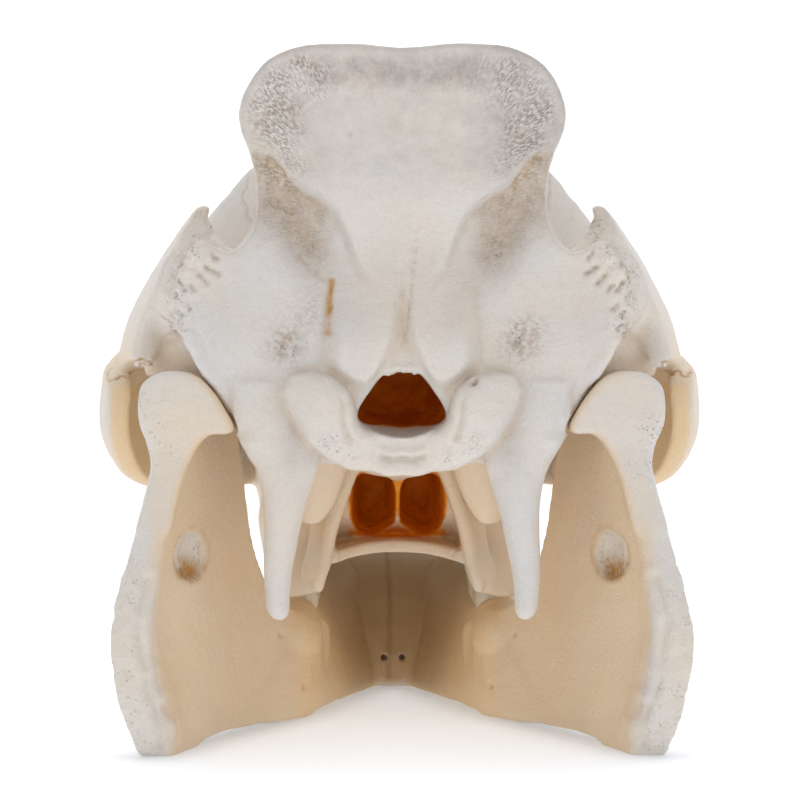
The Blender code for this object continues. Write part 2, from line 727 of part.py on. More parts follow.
def cranium_hollows():
    """Cutters for the brain cavity with its opening, the air passages, the orbits and the jaw's sockets."""
    outline = mirrored_outline(MAGNUM_HALF)
    magnum = slab("foramen_magnum", outline, 60, lambda x, height, c: (x, c + 8, height))
    brain = ball("brain_cavity", (0, 36, 93), (15, 22, 12.5), (-8, 0, 0))
    nose_gap = slab("nose_gap", NOSE_GAP, 60, lambda fwd, height, c: (c, fwd, height))
    paired = [
        loft("airway", [choana_ring(*row) for row in AIRWAY]),
        tube("nostril", NOSTRIL),
        tube("orbit", ORBIT, 5, 6),
        jaw_head(JOINT_GAP),
    ]
    return [magnum, brain, nose_gap, *both_sides(paired)]


def choana_ring(fwd, x, height, half_width, half_height, count=28):
    """Ring of an air passage, taller than wide with rounded corners, cut off by the foot of the septum."""
    ring = []
    for i in range(count):
        angle = 2 * math.pi * i / count
        across = half_width * softened(math.cos(angle), 0.6)
        up = half_height * softened(math.sin(angle), 0.65)
        over_foot = SEPTUM_FOOT_HEIGHT - half_height - up
        nearest = x - half_width + SEPTUM_FOOT_SLOPE * max(over_foot, 0)
        ring.append((max(x + across, nearest), fwd, height + up))
    return ring


def cranium_body():
    core = fuse("core", [roof_plate(), *braincase(), nuchal_plate(), muzzle(), nasals(), keel()], 9)
    sides = both_sides([
        arch_plate("temporal", TEMPORAL_OUTLINE, 6.5, CHEEK_HALF_WIDTH - 3.2),
        arch_plate("jugal", JUGAL_OUTLINE, 6.5, CHEEK_HALF_WIDTH),
        *temporal_root(), postorbital(), *skull_base(), canine_sheath(),
    ])
    whole = fuse("cranium", [core, *sides], 3)
    shape_cranium(whole)
    carve_rear(whole)
    whole = fuse("cranium", [whole, *both_sides(occipital_details())], 1)
    whole = boolean(whole, cranium_hollows(), "DIFFERENCE")
    return fuse("cranium", [whole, palate()], 1)


def shape_cranium(whole):
    """Hollows and swellings that one push each makes."""
    push(whole, (44, 150, 74), (10, 26, 12), (-5, 0, 0))      # canine fossa
    push(whole, (30, 44, 130), (14, 18, 22), (-4, 0, 0))      # temporal fossa
    push(whole, (0, 150, 110), (30, 24, 16), (0, 0, -2.5), mirror=False)   # dish of the face
    push(whole, (30, 62, 92), (12, 14, 16), (-4, 0, 0))        # side of the braincase over the jaw
    push(whole, (61, 23, 105), (6, 10, 6.5), (0, 3.5, 0))      # rear of the arch's root, over the jaw's head


# The lower jaw

RAMUS_OUTLINE = [  # fwd, height
    (14, 86), (15.5, 78), (14.5, 66), (11, 54), (7, 42), (4, 32), (2.8, 22), (3.2, 12), (6, 3.5),
    (11, -1.0), (20, -1.2), (28, -0.4), (36, 0.8), (50, 1.0), (62, 0.9), (78, 0.9), (96, 0.8), (104, 10),
    (104, 24), (92, 29), (80, 32), (73, 40), (67, 54), (63, 70), (57, 84), (50, 94), (44, 99.5), (39, 97),
    (33, 90.5), (26, 88), (20, 90),
]
JAW_LINE_LOW = [  # fwd, x of the jaw's middle surface along its lower edge
    (0, 65), (10, 61.5), (28, 55.2), (48, 49.8), (58, 46), (68, 41.8), (80, 36.2), (98, 29.4), (122, 23.0),
    (135, 20), (162, 12), (200, 9),
]
JAW_LINE_HIGH = [  # and along its tooth row and upper part
    (0, 66), (15, 62), (40, 51), (65, 43.6), (80, 35), (98, 27.5), (135, 23), (162, 20), (200, 18),
]


def jaw_centre(fwd, height):
    """x of the jaw's middle surface: a V in plan, whose rear flares out at mid height."""
    lean = ramp(height, 4, 34)
    x = follow(fwd, JAW_LINE_LOW) * (1 - lean) + follow(fwd, JAW_LINE_HIGH) * lean
    flare = 4.5 * bell(height - 30, 24) * (1 - ramp(fwd, 4, 34))
    return x + flare - 3.0 * ramp(height, 60, 95) * (1 - ramp(fwd, 20, 50))


def ramus():
    """Upright plate of the jaw, with a thicker rear rim."""
    thick = 6.0

    def warp(fwd, height, c):
        body = 1.4 * ramp(fwd, 52, 88) * (1 - ramp(height, 24, 44))
        rim = 1 + 0.5 * (1 - ramp(fwd, 8, 22)) + 0.3 * ramp(fwd, 66, 92) + body
        return jaw_centre(fwd, height) + c * rim, fwd, height

    return slab("ramus", RAMUS_OUTLINE, thick, warp)


JAW_BODY = [  # fwd, x of bottom and top, bottom, top, half thickness
    (66, 39.6, 41.0, 1.2, 8, 2.8), (74, 35.6, 36.4, 0.5, 20, 6.0), (82, 32.4, 31.6, 0.4, 30, 8.2),
    (89, 29.8, 29.2, 0.4, 33.2, 8.2), (98, 27.2, 28.8, 0.4, 33.6, 7.7), (110, 24.2, 28.2, 0.4, 32, 7.4),
    (122, 21.4, 27.6, 0.3, 31, 7.2), (135, 18.4, 27.0, 0.0, 31.4, 7.0), (148, 15.6, 26.0, -0.6, 33, 6.8),
    (160, 12.4, 24.6, -1.0, 35, 7.0), (172, 9.0, 23.0, -0.8, 36, 7.4), (182, 8.5, 21.4, 1.6, 37.5, 7.6),
    (192, 9.5, 19.8, 4.5, 39, 7.6),
]


def leaning_ring(fwd, low_x, high_x, bottom, top, half, count=28):
    """Ring of the jaw's body: upright, leaning from its lower edge to its tooth row."""
    ring = []
    for i in range(count):
        angle = 2 * math.pi * i / count
        across = half * softened(math.cos(angle), 0.6)
        up = (softened(math.sin(angle), 0.6) + 1) / 2
        ring.append((low_x + (high_x - low_x) * up + across, fwd, bottom + (top - bottom) * up))
    return ring


def chin():
    """Symphysis: both halves of the jaw joined, rising forward to the incisors."""
    rows = [  # fwd, half width, top, bottom
        (167, 4, 10, 2.0), (171, 11, 18, -0.8), (178, 17, 27, 0.4), (190, 21.5, 33.5, 4.5),
        (203, 23.5, 38.0, 12.5), (215, 22.5, 41.5, 20.0), (226, 19.5, 44, 27.5), (236, 15.5, 46.5, 34.5),
        (243, 11, 47.5, 39.5),
    ]
    return loft("chin", [ellipse_ring(*row, power=2.6) for row in rows])


JAW_HEAD_OUTLINE = [  # x, height of the head and neck from behind
    (66.6, 93), (62.5, 96.6), (57, 97.4), (52, 96.2), (48, 92.2), (44.6, 87), (42.6, 82.8), (44.5, 81.2),
    (48.5, 81.4), (51.2, 79.4), (53.2, 76), (55.2, 71.5), (57, 65), (59.5, 56), (67.4, 56), (65.4, 65),
    (63.8, 72), (64.8, 78.6), (67, 85),
]
JAW_NECK = [
    (61.2, 16.8, 70, 3.6), (62.8, 14.6, 60, 3.8), (65.2, 11.5, 48, 3.8), (67.2, 8, 36, 3.8),
    (67.0, 6.6, 24, 3.8), (64.2, 7.0, 12, 3.6), (60.6, 11, 4.6, 3.4),
]


def jaw_head(grow=0.0):
    """Triangular head of the jaw on a neck that thins downwards, or with grow the socket that clears it."""
    outline = offset_outline(JAW_HEAD_OUTLINE, grow)

    def warp(x, height, c):
        deep = follow(height, [(56, 0.55), (66, 0.6), (76, 0.72), (84, 1.0), (98, 1.0)])
        middle = follow(height, [(56, 14.5), (66, 16.5), (80, 19.0), (98, 19.0)])
        return x, middle + 0.09 * (56 - x) + c * deep, height

    return slab("jaw_head", outline, 13.0 + 2 * grow, warp)


MOLAR_BULGE = ((28.6, 90, 23.4), (8.0, 13.0, 9.0))      # soft end of the lower tooth row: place, radii


def mandible_body():
    sides = both_sides([
        ramus(),
        loft("jaw_body", [leaning_ring(*row) for row in JAW_BODY]),
        jaw_head(), tube("jaw_neck", JAW_NECK), ball("molar_bulge", *MOLAR_BULGE),
        tube("canine_root", [(17.5, 190, 32, 6.0), (20.5, 200, 35.5, 6.4), (23.5, 208, 39.5, 4.6)]),
    ])
    whole = fuse("mandible", [*sides, chin()], 5)
    push(whole, (0, 196, 46), (11, 16, 7), (0, 0, -5), mirror=False)   # trough behind the incisors
    whole = boolean(whole, jaw_hollows(), "DIFFERENCE")
    return fuse("mandible", [whole], 1)


def jaw_hollows():
    canal = ball("jaw_canal", (52.6, 27, 49.6), (3.2, 4.8, 7.6), (-14, 0, -24))
    chin_hole = tube("mental", [(30, 163, 17, 1.6), (20, 160, 17, 1.6), (16, 158, 17, 1.2)])
    tongue_hole = tube("lingual", [(2.8, 160, 9.0, 1.1), (2.8, 172, 9.0, 1.1)])
    return both_sides([canal, chin_hole, tongue_hole])


# Teeth: each row is a loop over its teeth, from the front back

UPPER_CHEEK = [  # name, fwd of its middle, x, length, width, crown height
    ("P1", 196.5, 23.0, 7.5, 4.0, 5.0),
    ("P2", 186.5, 24.2, 10.5, 5.2, 6.4),
    ("P3", 174.8, 25.4, 11.5, 7.0, 7.2),
    ("P4", 163.0, 26.8, 11.0, 10.0, 7.2),
    ("M1", 149.4, 27.4, 15.0, 11.8, 6.6),
    ("M2", 131.6, 28.2, 19.0, 13.6, 7.4),
    ("M3", 108.8, 28.6, 25.0, 14.2, 7.0),
]
LOWER_CHEEK = [
    ("P2", 182.5, 22.0, 10.0, 4.6, 6.6),
    ("P3", 171.2, 23.6, 11.0, 5.6, 7.4),
    ("P4", 158.4, 25.2, 13.0, 7.6, 7.6),
    ("M1", 143.6, 26.6, 15.0, 9.6, 7.0),
    ("M2", 125.8, 27.6, 19.0, 11.8, 7.6),
    ("M3", 103.7, 28.4, 24.4, 12.4, 7.2),
]
UPPER_INCISORS = {  # name: (x, fwd, height, radius) from the root to the tip
    "I1": [(6.0, 240, 60, 3.6), (6.2, 247, 56.5, 4.2), (5.6, 252.6, 52.8, 4.0), (4.8, 255.6, 50.2, 3.1),
           (4.4, 256.4, 49.0, 1.8)],
    "I2": [(14.5, 236, 58, 2.8), (15.0, 238.5, 54.0, 3.2), (14.6, 241.5, 51.0, 2.7),
           (14.2, 242.5, 49.6, 1.4)],
    "I3": [(18.0, 224, 56, 2.2), (18.6, 225.5, 52.5, 2.6), (18.4, 227.5, 49.8, 1.5)],
}
LOWER_INCISORS = {  # long, nearly straight teeth that lie forward, side by side
    "i1": [(3.6, 226, 38.5, 3.2), (3.7, 238, 40.8, 3.3), (3.4, 250, 42.6, 3.0), (3.2, 258, 43.4, 2.3),
           (3.2, 261.4, 43.8, 1.2)],
    "i2": [(9.8, 224, 38.5, 3.1), (10.0, 236, 41.0, 3.3), (9.7, 248, 43.0, 2.9), (9.3, 255, 43.8, 2.1),
           (9.1, 257.5, 44.1, 1.1)],
    "i3": [(15.8, 219, 38, 2.4), (16.4, 226, 41.8, 2.6), (16.8, 231, 43.8, 1.5)],
}
TWO_ROW_WIDTH = 8.0        # cheek teeth wider than this have two rows of cusps
CROWN_RINGS = ((0.30, 0.90), (0.55, 1.0), (1.0, 0.96), (1.9, 0.80))           # share of height, of width
CUSP_RINGS = ((0.30, 0.0), (0.62, 0.12), (0.86, 0.32), (1.0, 0.62), (0.9, 1.0))   # share of width, depth


def occlusion(fwd):
    return OCCLUSION_REAR + (OCCLUSION_FRONT - OCCLUSION_REAR) * (fwd - 95) / 100


def cusp(name, x, fwd, tip, half_width, half_length, crown):
    """Blunt cone that rises from the crown to its tip; crown is negative on a lower tooth."""
    rings = []
    for share, depth in CUSP_RINGS:
        angles = [2 * math.pi * k / 12 for k in range(12)]
        rings.append([(x + half_width * share * math.cos(a), fwd + half_length * share * math.sin(a),
                       tip + crown * depth) for a in angles])
    return loft(name, rings)


def cheek_tooth(name, fwd, x, length, width, crown, upper):
    """Crown with rounded cusps in two rows, or in one row on a narrow premolar, and a root in the jaw."""
    away = crown if upper else -crown
    bite = occlusion(fwd) + math.copysign(BITE_GAP / 2, away)
    rings = []
    for share, grow in CROWN_RINGS:
        ring = []
        for i in range(20):
            angle = 2 * math.pi * i / 20
            across = width / 2 * grow * softened(math.cos(angle), 0.7)
            along = length / 2 * grow * softened(math.sin(angle), 0.7)
            ring.append((x + across, fwd + along, bite + away * share))
        rings.append(ring)
    pieces = [loft(name, rings)]
    if width > TWO_ROW_WIDTH:
        pairs = max(2, round(length / 7.0))
        for i in range(pairs):
            middle = fwd + ((i + 0.5) / pairs - 0.5) * length * 0.96
            for side in (-1, 1):
                pieces.append(cusp(f"{name}_cusp", x + side * width * 0.24, middle, bite, 0.30 * width,
                                   0.56 * length / pairs, away))
        return pieces
    points = [(0, 1.0)] if length < 9 else [(-0.32, 0.62), (0, 1.0), (0.32, 0.62)]
    for along, tall in points:
        pieces.append(cusp(f"{name}_cusp", x, fwd + along * length, bite + away * (1 - tall) * 0.6,
                           0.46 * width, 0.56 * length / len(points), away))
    return pieces


def upper_teeth():
    pieces = [piece for row in UPPER_CHEEK for piece in cheek_tooth(*row, upper=True)]
    pieces += [tube(name, path) for name, path in UPPER_INCISORS.items()]
    return both_sides(pieces)


def lower_teeth():
    pieces = [piece for row in LOWER_CHEEK for piece in cheek_tooth(*row, upper=False)]
    pieces += [tube(name, path) for name, path in LOWER_INCISORS.items()]
    return both_sides(pieces)


# Tusks: short canines of a young animal, each in a pocket of its jaw

TUSKS = {  # name: (x, fwd, height, radius) from the root's flat end to the tip, and the bone it sits in
    "tusk_upper": ([(22.5, 205.0, 58.0, 4.2), (26.0, 208.0, 54.4, 4.3), (29.6, 210.6, 51.4, 3.9),
                    (32.6, 212.4, 50.2, 3.0), (34.6, 213.0, 50.8, 1.9), (35.6, 213.0, 52.0, 0.7)],
                   "cranium"),
    "tusk_lower": ([(19.6, 212.0, 34.0, 3.6), (22.4, 214.6, 40.6, 3.8), (25.2, 217.4, 46.4, 3.4),
                    (27.6, 219.0, 51.0, 2.7), (29.4, 219.4, 54.6, 1.8), (30.2, 219.0, 56.6, 0.7)],
                   "mandible"),
}


def tusk(name, path, grow=0.0):
    """Curved tooth, or with grow the pocket that clears it on its sides and its flat root end."""
    path = [np.array(row, float) for row in path]
    if grow:
        start = path[0][:3] - path[1][:3]
        path[0][:3] += grow * start / np.linalg.norm(start)
        for row in path:
            row[3] += grow
    return tube(name, path, 2, 1)


# The cuts along the seams between bones: each region is (fwd, height) outlines over a range of x

PARTS = [  # name, outline, from x, to x, on both sides
    ("occipital", [(-30, 20), (20.5, 20), (20.5, 150), (14, 163), (4, 174), (0, 195), (-30, 195)],
     -75, 75, False),
    ("zygomatic", [(20, 55), (20, 93), (31, 95.5), (40, 98.6), (58, 101.6), (68, 104.6), (70, 125),
                   (98, 125), (118, 104), (138, 100), (138, 55)], 44, 95, True),
    ("temporal", [(18, 80), (18, 146), (34, 146), (74, 114), (74, 94), (45, 84)], 34, 95, True),
    ("nasal", [(130, 107), (150, 99), (180, 89.2), (207, 82.6), (212, 75), (255, 75), (255, 100),
               (130, 125)], -13.6, 13.6, False),
    ("premaxilla", [(218, 35), (216, 60), (196, 80.5), (196, 105), (275, 105), (275, 35)], -45, 45, False),
    ("sphenoid", [(15, 15), (77, 15), (77, 86), (15, 86)], -60, 60, False),
    ("maxilla", [(70, 15), (70, 86), (106, 86), (132, 112), (132, 125), (260, 125), (260, 15)],
     -60, 60, False),
    ("parietal", [(-5, 80), (60, 80), (60, 200), (-5, 200)], -60, 60, False),
]


def part_bones(cranium):
    """Cuts the cranium along its seams into one closed object per bone."""
    bones = {}
    rest = cranium
    for name, outline, low, high, paired in PARTS:
        spans = {name: (low, high)}
        if paired:
            spans = {name + "_left": (low, high), name + "_right": (-high, -low)}
        for bone, (x_from, x_to) in spans.items():
            whole = add_object(bone, rest.data.copy())
            bones[bone] = boolean(whole, [prism("region", outline, x_from, x_to)], "INTERSECT", "EXACT")
            rest = boolean(rest, [prism("region", outline, x_from, x_to, SEAM)], "DIFFERENCE", "EXACT")
    bones["frontal"] = rest
    return bones


def thinned(name, obj, triangles):
    """The object as one closed surface with at most that many triangles."""
    weld(obj)
    largest_body(obj)
    count = sum(len(face.vertices) - 2 for face in obj.data.polygons)
    thin = obj.modifiers.new("thin", "DECIMATE")
    thin.ratio = min(1.0, triangles / count)
    return baked(obj, name)


def keep(name, obj, material):
    """Adds the object to the model as one named part."""
    largest_body(obj)
    obj.name = name
    obj.data.name = name
    obj.data.materials.clear()
    obj.data.materials.append(material)
    WORK.objects.unlink(obj)
    MODEL.objects.link(obj)


clear_scene()
MODEL = make_collection("pig_skull")
WORK = make_collection("work")


def main():
    bone = make_material("bone", BONE, 0.6)
    jaw_bone = make_material("jaw_bone", WARM_BONE, 0.6)
    enamel = make_material("enamel", ENAMEL, 0.35)
    cranium = fuse("cranium", [cranium_body(), *upper_teeth()], 1)
    mandible = fuse("mandible", [mandible_body(), *lower_teeth()], 1)
    cranium = thinned("cranium", cranium, CRANIUM_TRIANGLES)
    mandible = thinned("mandible", mandible, MANDIBLE_TRIANGLES)
    pockets = {"cranium": [], "mandible": []}
    for name, (path, home) in TUSKS.items():
        pockets[home].append(tusk("pocket", path, SEAM))
        for side, made in zip(("left", "right"), both_sides([tusk(name, path)])):
            keep(f"{name}_{side}", made, enamel)
    cranium = boolean(cranium, both_sides(pockets["cranium"]), "DIFFERENCE", "EXACT")
    floor = prism("floor", [(-30, -20), (280, -20), (280, 0), (-30, 0)], -100, 100)
    mandible = boolean(mandible, [*both_sides(pockets["mandible"]), floor], "DIFFERENCE", "EXACT")
    for name, piece in part_bones(cranium).items():
        keep(name, piece, bone)
    keep("mandible", mandible, jaw_bone)


main()
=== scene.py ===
"""Looks of a pig skull with its lower jaw, seen from behind as a museum shows it.

The bones are built again from the part's own forms on a finer grid, given the pits, seams and foramina
of real bone, and parted into one piece for each bone of the frame. Sizes are in millimetres until they
become Blender points; "fwd" is the distance forward of the occipital condyles' rear face.
"""

import itertools
import json
import math
from types import SimpleNamespace

import bmesh
import bpy
import numpy as np
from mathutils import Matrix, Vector

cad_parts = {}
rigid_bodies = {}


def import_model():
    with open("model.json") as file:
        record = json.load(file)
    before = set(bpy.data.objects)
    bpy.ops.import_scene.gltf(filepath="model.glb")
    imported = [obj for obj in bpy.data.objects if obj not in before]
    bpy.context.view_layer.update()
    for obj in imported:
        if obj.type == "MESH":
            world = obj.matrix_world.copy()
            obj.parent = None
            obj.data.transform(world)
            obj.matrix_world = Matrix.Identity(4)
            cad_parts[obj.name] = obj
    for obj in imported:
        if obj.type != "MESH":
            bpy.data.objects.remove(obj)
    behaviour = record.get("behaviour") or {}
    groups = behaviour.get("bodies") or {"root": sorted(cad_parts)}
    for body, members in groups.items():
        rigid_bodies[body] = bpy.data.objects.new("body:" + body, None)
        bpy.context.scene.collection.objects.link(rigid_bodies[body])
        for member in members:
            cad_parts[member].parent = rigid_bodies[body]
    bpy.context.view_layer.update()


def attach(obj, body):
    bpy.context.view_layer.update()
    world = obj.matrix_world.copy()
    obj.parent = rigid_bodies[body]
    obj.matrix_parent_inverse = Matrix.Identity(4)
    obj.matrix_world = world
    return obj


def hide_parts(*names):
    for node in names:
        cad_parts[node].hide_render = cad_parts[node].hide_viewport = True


MM = 0.001

# Driving sizes, the same as the part's
CONDYLE_Y = 126.8          # y of the occipital condyles' rear face, which centres the skull on the origin
CHEEK_HALF_WIDTH = 79.5    # outer face of the zygomatic arches
CHEEK_HEIGHT = 85.0        # height where the arches are widest
JOINT_GAP = 0.8            # clearance between the jaw's condyle and its socket
OCCLUSION_REAR = 37.5      # height of the biting plane at the last molars
OCCLUSION_FRONT = 43.0     # and at the first premolars
BITE_GAP = 0.9             # between the upper and the lower cheek teeth
VOXEL = 0.66               # grid on which the pieces of a bone are fused
TOOTH_VOXEL = 0.35         # finer grid of the cheek teeth and incisors, for their cusps
WELD_GAP = 0.02            # vertices nearer than this to each other become one


def place(x, fwd, height):
    """A point in metres from its x, distance forward and height in millimetres."""
    return Vector((x * MM, (CONDYLE_Y - fwd) * MM, height * MM))


def follow(value, table):
    """Smooth curve through a table of (position, size) pairs, read at value."""
    xs = np.array([row[0] for row in table], float)
    ys = np.array([row[1] for row in table], float)
    slopes = np.gradient(ys, xs)
    value = np.clip(np.asarray(value, float), xs[0], xs[-1])
    k = np.clip(np.searchsorted(xs, value) - 1, 0, len(xs) - 2)
    span = xs[k + 1] - xs[k]
    t = (value - xs[k]) / span
    rise = ys[k + 1] - ys[k]
    bend = (1 - t) * (slopes[k] * span - rise) - t * (slopes[k + 1] * span - rise)
    return ys[k] + rise * t + t * (1 - t) * bend


def bell(distance, width):
    """1 at no distance, falling off to both sides."""
    return np.exp(-np.square(distance / width))


def ramp(value, start, end):
    """0 before start, 1 after end and smooth between them."""
    t = np.clip((np.asarray(value, float) - start) / (end - start), 0, 1)
    return t * t * (3 - 2 * t)


def rounded(points, steps=4, closed=True):
    """Catmull-Rom curve through the points."""
    points = [np.array(p, float) for p in points]
    count = len(points)
    spans = count if closed else count - 1
    made = []
    for i in range(spans):
        ends = [i - 1, i, i + 1, i + 2]
        p0, p1, p2, p3 = (points[j % count] if closed else points[min(max(j, 0), count - 1)] for j in ends)
        for step in range(steps):
            t = step / steps
            square = (2 * p0 - 5 * p1 + 4 * p2 - p3) * t ** 2
            cube = (3 * p1 - p0 - 3 * p2 + p3) * t ** 3
            made.append(0.5 * (2 * p1 + (p2 - p0) * t + square + cube))
    if not closed:
        made.append(points[-1])
    return made


# Blender objects from these shapes. Each function returns an object in the work collection.

def add_object(name, data):
    obj = bpy.data.objects.new(name, data)
    WORK.objects.link(obj)
    return obj


def object_from(bm, name):
    """A new object with the shape that bm holds; bm is freed."""
    mesh = bpy.data.meshes.new(name)
    bm.to_mesh(mesh)
    bm.free()
    return add_object(name, mesh)


def baked(obj):
    """The object with its modifiers or curve settings applied, as a plain mesh object."""
    bpy.context.view_layer.update()
    graph = bpy.context.evaluated_depsgraph_get()
    mesh = bpy.data.meshes.new_from_object(obj.evaluated_get(graph), depsgraph=graph)
    mesh.transform(obj.matrix_world)
    made = add_object(obj.name, mesh)
    bpy.data.objects.remove(obj)
    return made


def loft(name, rings):
    """Closed body through rings of points (x, fwd, height), each ring with as many points as the next."""
    bm = bmesh.new()
    loops = [[bm.verts.new(place(*point)) for point in ring] for ring in rings]
    count = len(rings[0])
    for low, high in zip(loops, loops[1:]):
        for i in range(count):
            j = (i + 1) % count
            bm.faces.new((low[i], low[j], high[j], high[i]))
    bm.faces.new(loops[0])
    bm.faces.new(list(reversed(loops[-1])))
    bmesh.ops.recalc_face_normals(bm, faces=bm.faces)
    return object_from(bm, name)


def ball(name, centre, radii, turn=(0, 0, 0)):
    """Ellipsoid: centre and radii as (x, fwd, height), turned by degrees about X, Y and Z."""
    bm = bmesh.new()
    bmesh.ops.create_uvsphere(bm, u_segments=32, v_segments=20, radius=1)
    obj = object_from(bm, name)
    obj.location = place(*centre)
    obj.rotation_euler = [math.radians(angle) for angle in turn]
    obj.scale = [radius * MM for radius in radii]
    return baked(obj)


def add_path(curve, path):
    """Gives the curve one line through the (x, y, z) points and returns it."""
    line = curve.splines.new("POLY")
    line.points.add(len(path) - 1)
    for point, where in zip(line.points, path):
        point.co = (*where, 1)
    return line


def tube(name, points, steps=5, resolution=4):
    """Round rod along (x, fwd, height, radius) points."""
    curve = bpy.data.curves.new(name, "CURVE")
    curve.dimensions = "3D"
    curve.bevel_depth = MM
    curve.bevel_resolution = resolution
    curve.use_fill_caps = True
    path = rounded(points, steps, closed=False)
    line = add_path(curve, [place(*row[:3]) for row in path])
    for point, row in zip(line.points, path):
        point.radius = row[3]
    return welded(baked(add_object(name, curve)))


def welded(obj):
    """The object with its doubled vertices made one and its faces turned outward."""
    bm = bmesh.new()
    bm.from_mesh(obj.data)
    bmesh.ops.remove_doubles(bm, verts=bm.verts, dist=WELD_GAP * MM)
    bmesh.ops.recalc_face_normals(bm, faces=bm.faces)
    bm.to_mesh(obj.data)
    bm.free()
    return obj


def slab(name, outline, thickness, warp, grid=VOXEL):
    """Plate cut to a closed outline (a, b), as a filled and extruded 2D curve, and then warped.

    warp takes arrays a, b and c, with c running across the thickness, and gives x, fwd and height.
    """
    curve = bpy.data.curves.new(name, "CURVE")
    curve.dimensions = "2D"
    curve.fill_mode = "BOTH"
    curve.extrude = thickness * MM / 2
    line = add_path(curve, [(a * MM, b * MM, 0) for a, b in rounded(outline)])
    line.use_cyclic_u = True
    obj = remeshed(welded(baked(add_object(name, curve))), grid, 2)
    x, fwd, height = warp(*points_of(obj).T / MM)
    set_points(obj, frame_points(x, fwd, height))
    return welded(obj)


def frame_points(x, fwd, height):
    """Points in metres from arrays of x, distance forward and height in millimetres."""
    return np.stack([x * MM, (CONDYLE_Y - fwd) * MM, height * MM], axis=1)


def values_of(items, name, width=1, kind=float):
    """One property of every item of a mesh, as an array with width columns."""
    values = np.empty(len(items) * width, kind)
    items.foreach_get(name, values)
    return values.reshape(-1, width) if width > 1 else values


def points_of(obj):
    return values_of(obj.data.vertices, "co", 3)


def set_points(obj, points):
    obj.data.vertices.foreach_set("co", np.asarray(points, np.float32).ravel())
    obj.data.update()


def remeshed(obj, grid, smoothing):
    """The object as one even surface: overlapping pieces become one body, rounded where they meet."""
    remesh = obj.modifiers.new("remesh", "REMESH")
    remesh.mode = "VOXEL"
    remesh.voxel_size = grid * MM
    remesh.adaptivity = 0
    if smoothing:
        smooth = obj.modifiers.new("smooth", "SMOOTH")
        smooth.factor = 0.5
        smooth.iterations = smoothing
    return baked(obj)


def joined(name, pieces):
    """One object that holds the meshes of all the pieces, which are removed."""
    bm = bmesh.new()
    for piece in pieces:
        bm.from_mesh(piece.data)
        bpy.data.objects.remove(piece)
    return object_from(bm, name)


def fuse(name, pieces, smoothing, grid=VOXEL):
    return remeshed(joined(name, pieces), grid, smoothing)


def both_sides(pieces):
    """The pieces, made for the animal's left, and their mirror images."""
    made = list(pieces)
    for piece in pieces:
        mesh = piece.data.copy()
        other = add_object(piece.name + "_right", mesh)
        mirrored_points = points_of(other)
        mirrored_points[:, 0] *= -1
        set_points(other, mirrored_points)
        other.data.flip_normals()
        made.append(other)
    return made


def cut(obj, cutters):
    """The object with the cutters' shapes taken out of it; the cutters are removed."""
    group = bpy.data.collections.new("cutters")
    bpy.context.scene.collection.children.link(group)
    for cutter in cutters:
        WORK.objects.unlink(cutter)
        group.objects.link(cutter)
    modifier = obj.modifiers.new("cut", "BOOLEAN")
    modifier.operation = "DIFFERENCE"
    modifier.operand_type = "COLLECTION"
    modifier.collection = group
    modifier.solver = "MANIFOLD"
    made = baked(obj)
    for cutter in list(group.objects):
        bpy.data.objects.remove(cutter)
    bpy.data.collections.remove(group)
    return made


def push(obj, centre, reach, move, mirror=True):
    """Moves the surface near a point (x, fwd, height) by move, fading out over reach, on both sides."""
    points = points_of(obj)
    spread = np.array(reach, float) * MM
    for side in (1, -1) if mirror else (1,):
        middle = np.array(place(centre[0] * side, centre[1], centre[2]))
        weight = np.exp(-np.square((points - middle) / spread).sum(axis=1))
        step = np.array([move[0] * side, -move[1], move[2]]) * MM
        points = points + weight[:, None] * step
    set_points(obj, points)


def largest_body(obj):
    """Keeps the biggest of the separate closed surfaces in a mesh."""
    bm = bmesh.new()
    bm.from_mesh(obj.data)
    unseen = set(bm.verts)
    bodies = []
    while unseen:
        todo = [unseen.pop()]
        body = list(todo)
        while todo:
            for edge in todo.pop().link_edges:
                for vert in edge.verts:
                    if vert in unseen:
                        unseen.remove(vert)
                        todo.append(vert)
                        body.append(vert)
        faces = {face for vert in body for face in vert.link_faces}
        bodies.append((sum(face.calc_area() for face in faces), body))
    bodies.sort(key=lambda row: row[0])
    for _, body in bodies[:-1]:
        bmesh.ops.delete(bm, geom=body, context="VERTS")
    bm.to_mesh(obj.data)
    bm.free()


def offset_outline(outline, amount):
    """The outline with every side moved outward by an amount."""
    points = [np.array(point, float) for point in outline]
    count = len(points)
    twice_area = sum(points[i - 1][0] * points[i][1] - points[i][0] * points[i - 1][1] for i in range(count))
    turn = 1 if twice_area > 0 else -1
    moved = []
    for i in range(count):
        before = points[i] - points[i - 1]
        after = points[(i + 1) % count] - points[i]
        normals = [turn * np.array([step[1], -step[0]]) / np.linalg.norm(step) for step in (before, after)]
        corner = normals[0] + normals[1]
        moved.append(tuple(points[i] + amount * corner * 2 / np.dot(corner, corner)))
    return moved


# The cranium: roof, braincase, nuchal plate, muzzle, arches and base

ROOF_MID = [  # fwd, height of the midline from the crest to the nasal bones' tips
    (-12, 177), (0, 177), (15, 171.5), (30, 165), (50, 157), (65, 150.5), (80, 143), (95, 134.5),
    (110, 125.5), (125, 116.5), (140, 109), (160, 101.5), (180, 96), (200, 91.5), (220, 88), (243, 84.5),
]


def roof_height(x, fwd):
    """Height of the skull's roof: flat across the middle, falling away to the sides."""
    return follow(fwd, ROOF_MID) - 0.032 * np.square(np.maximum(np.abs(x) - 34, 0))


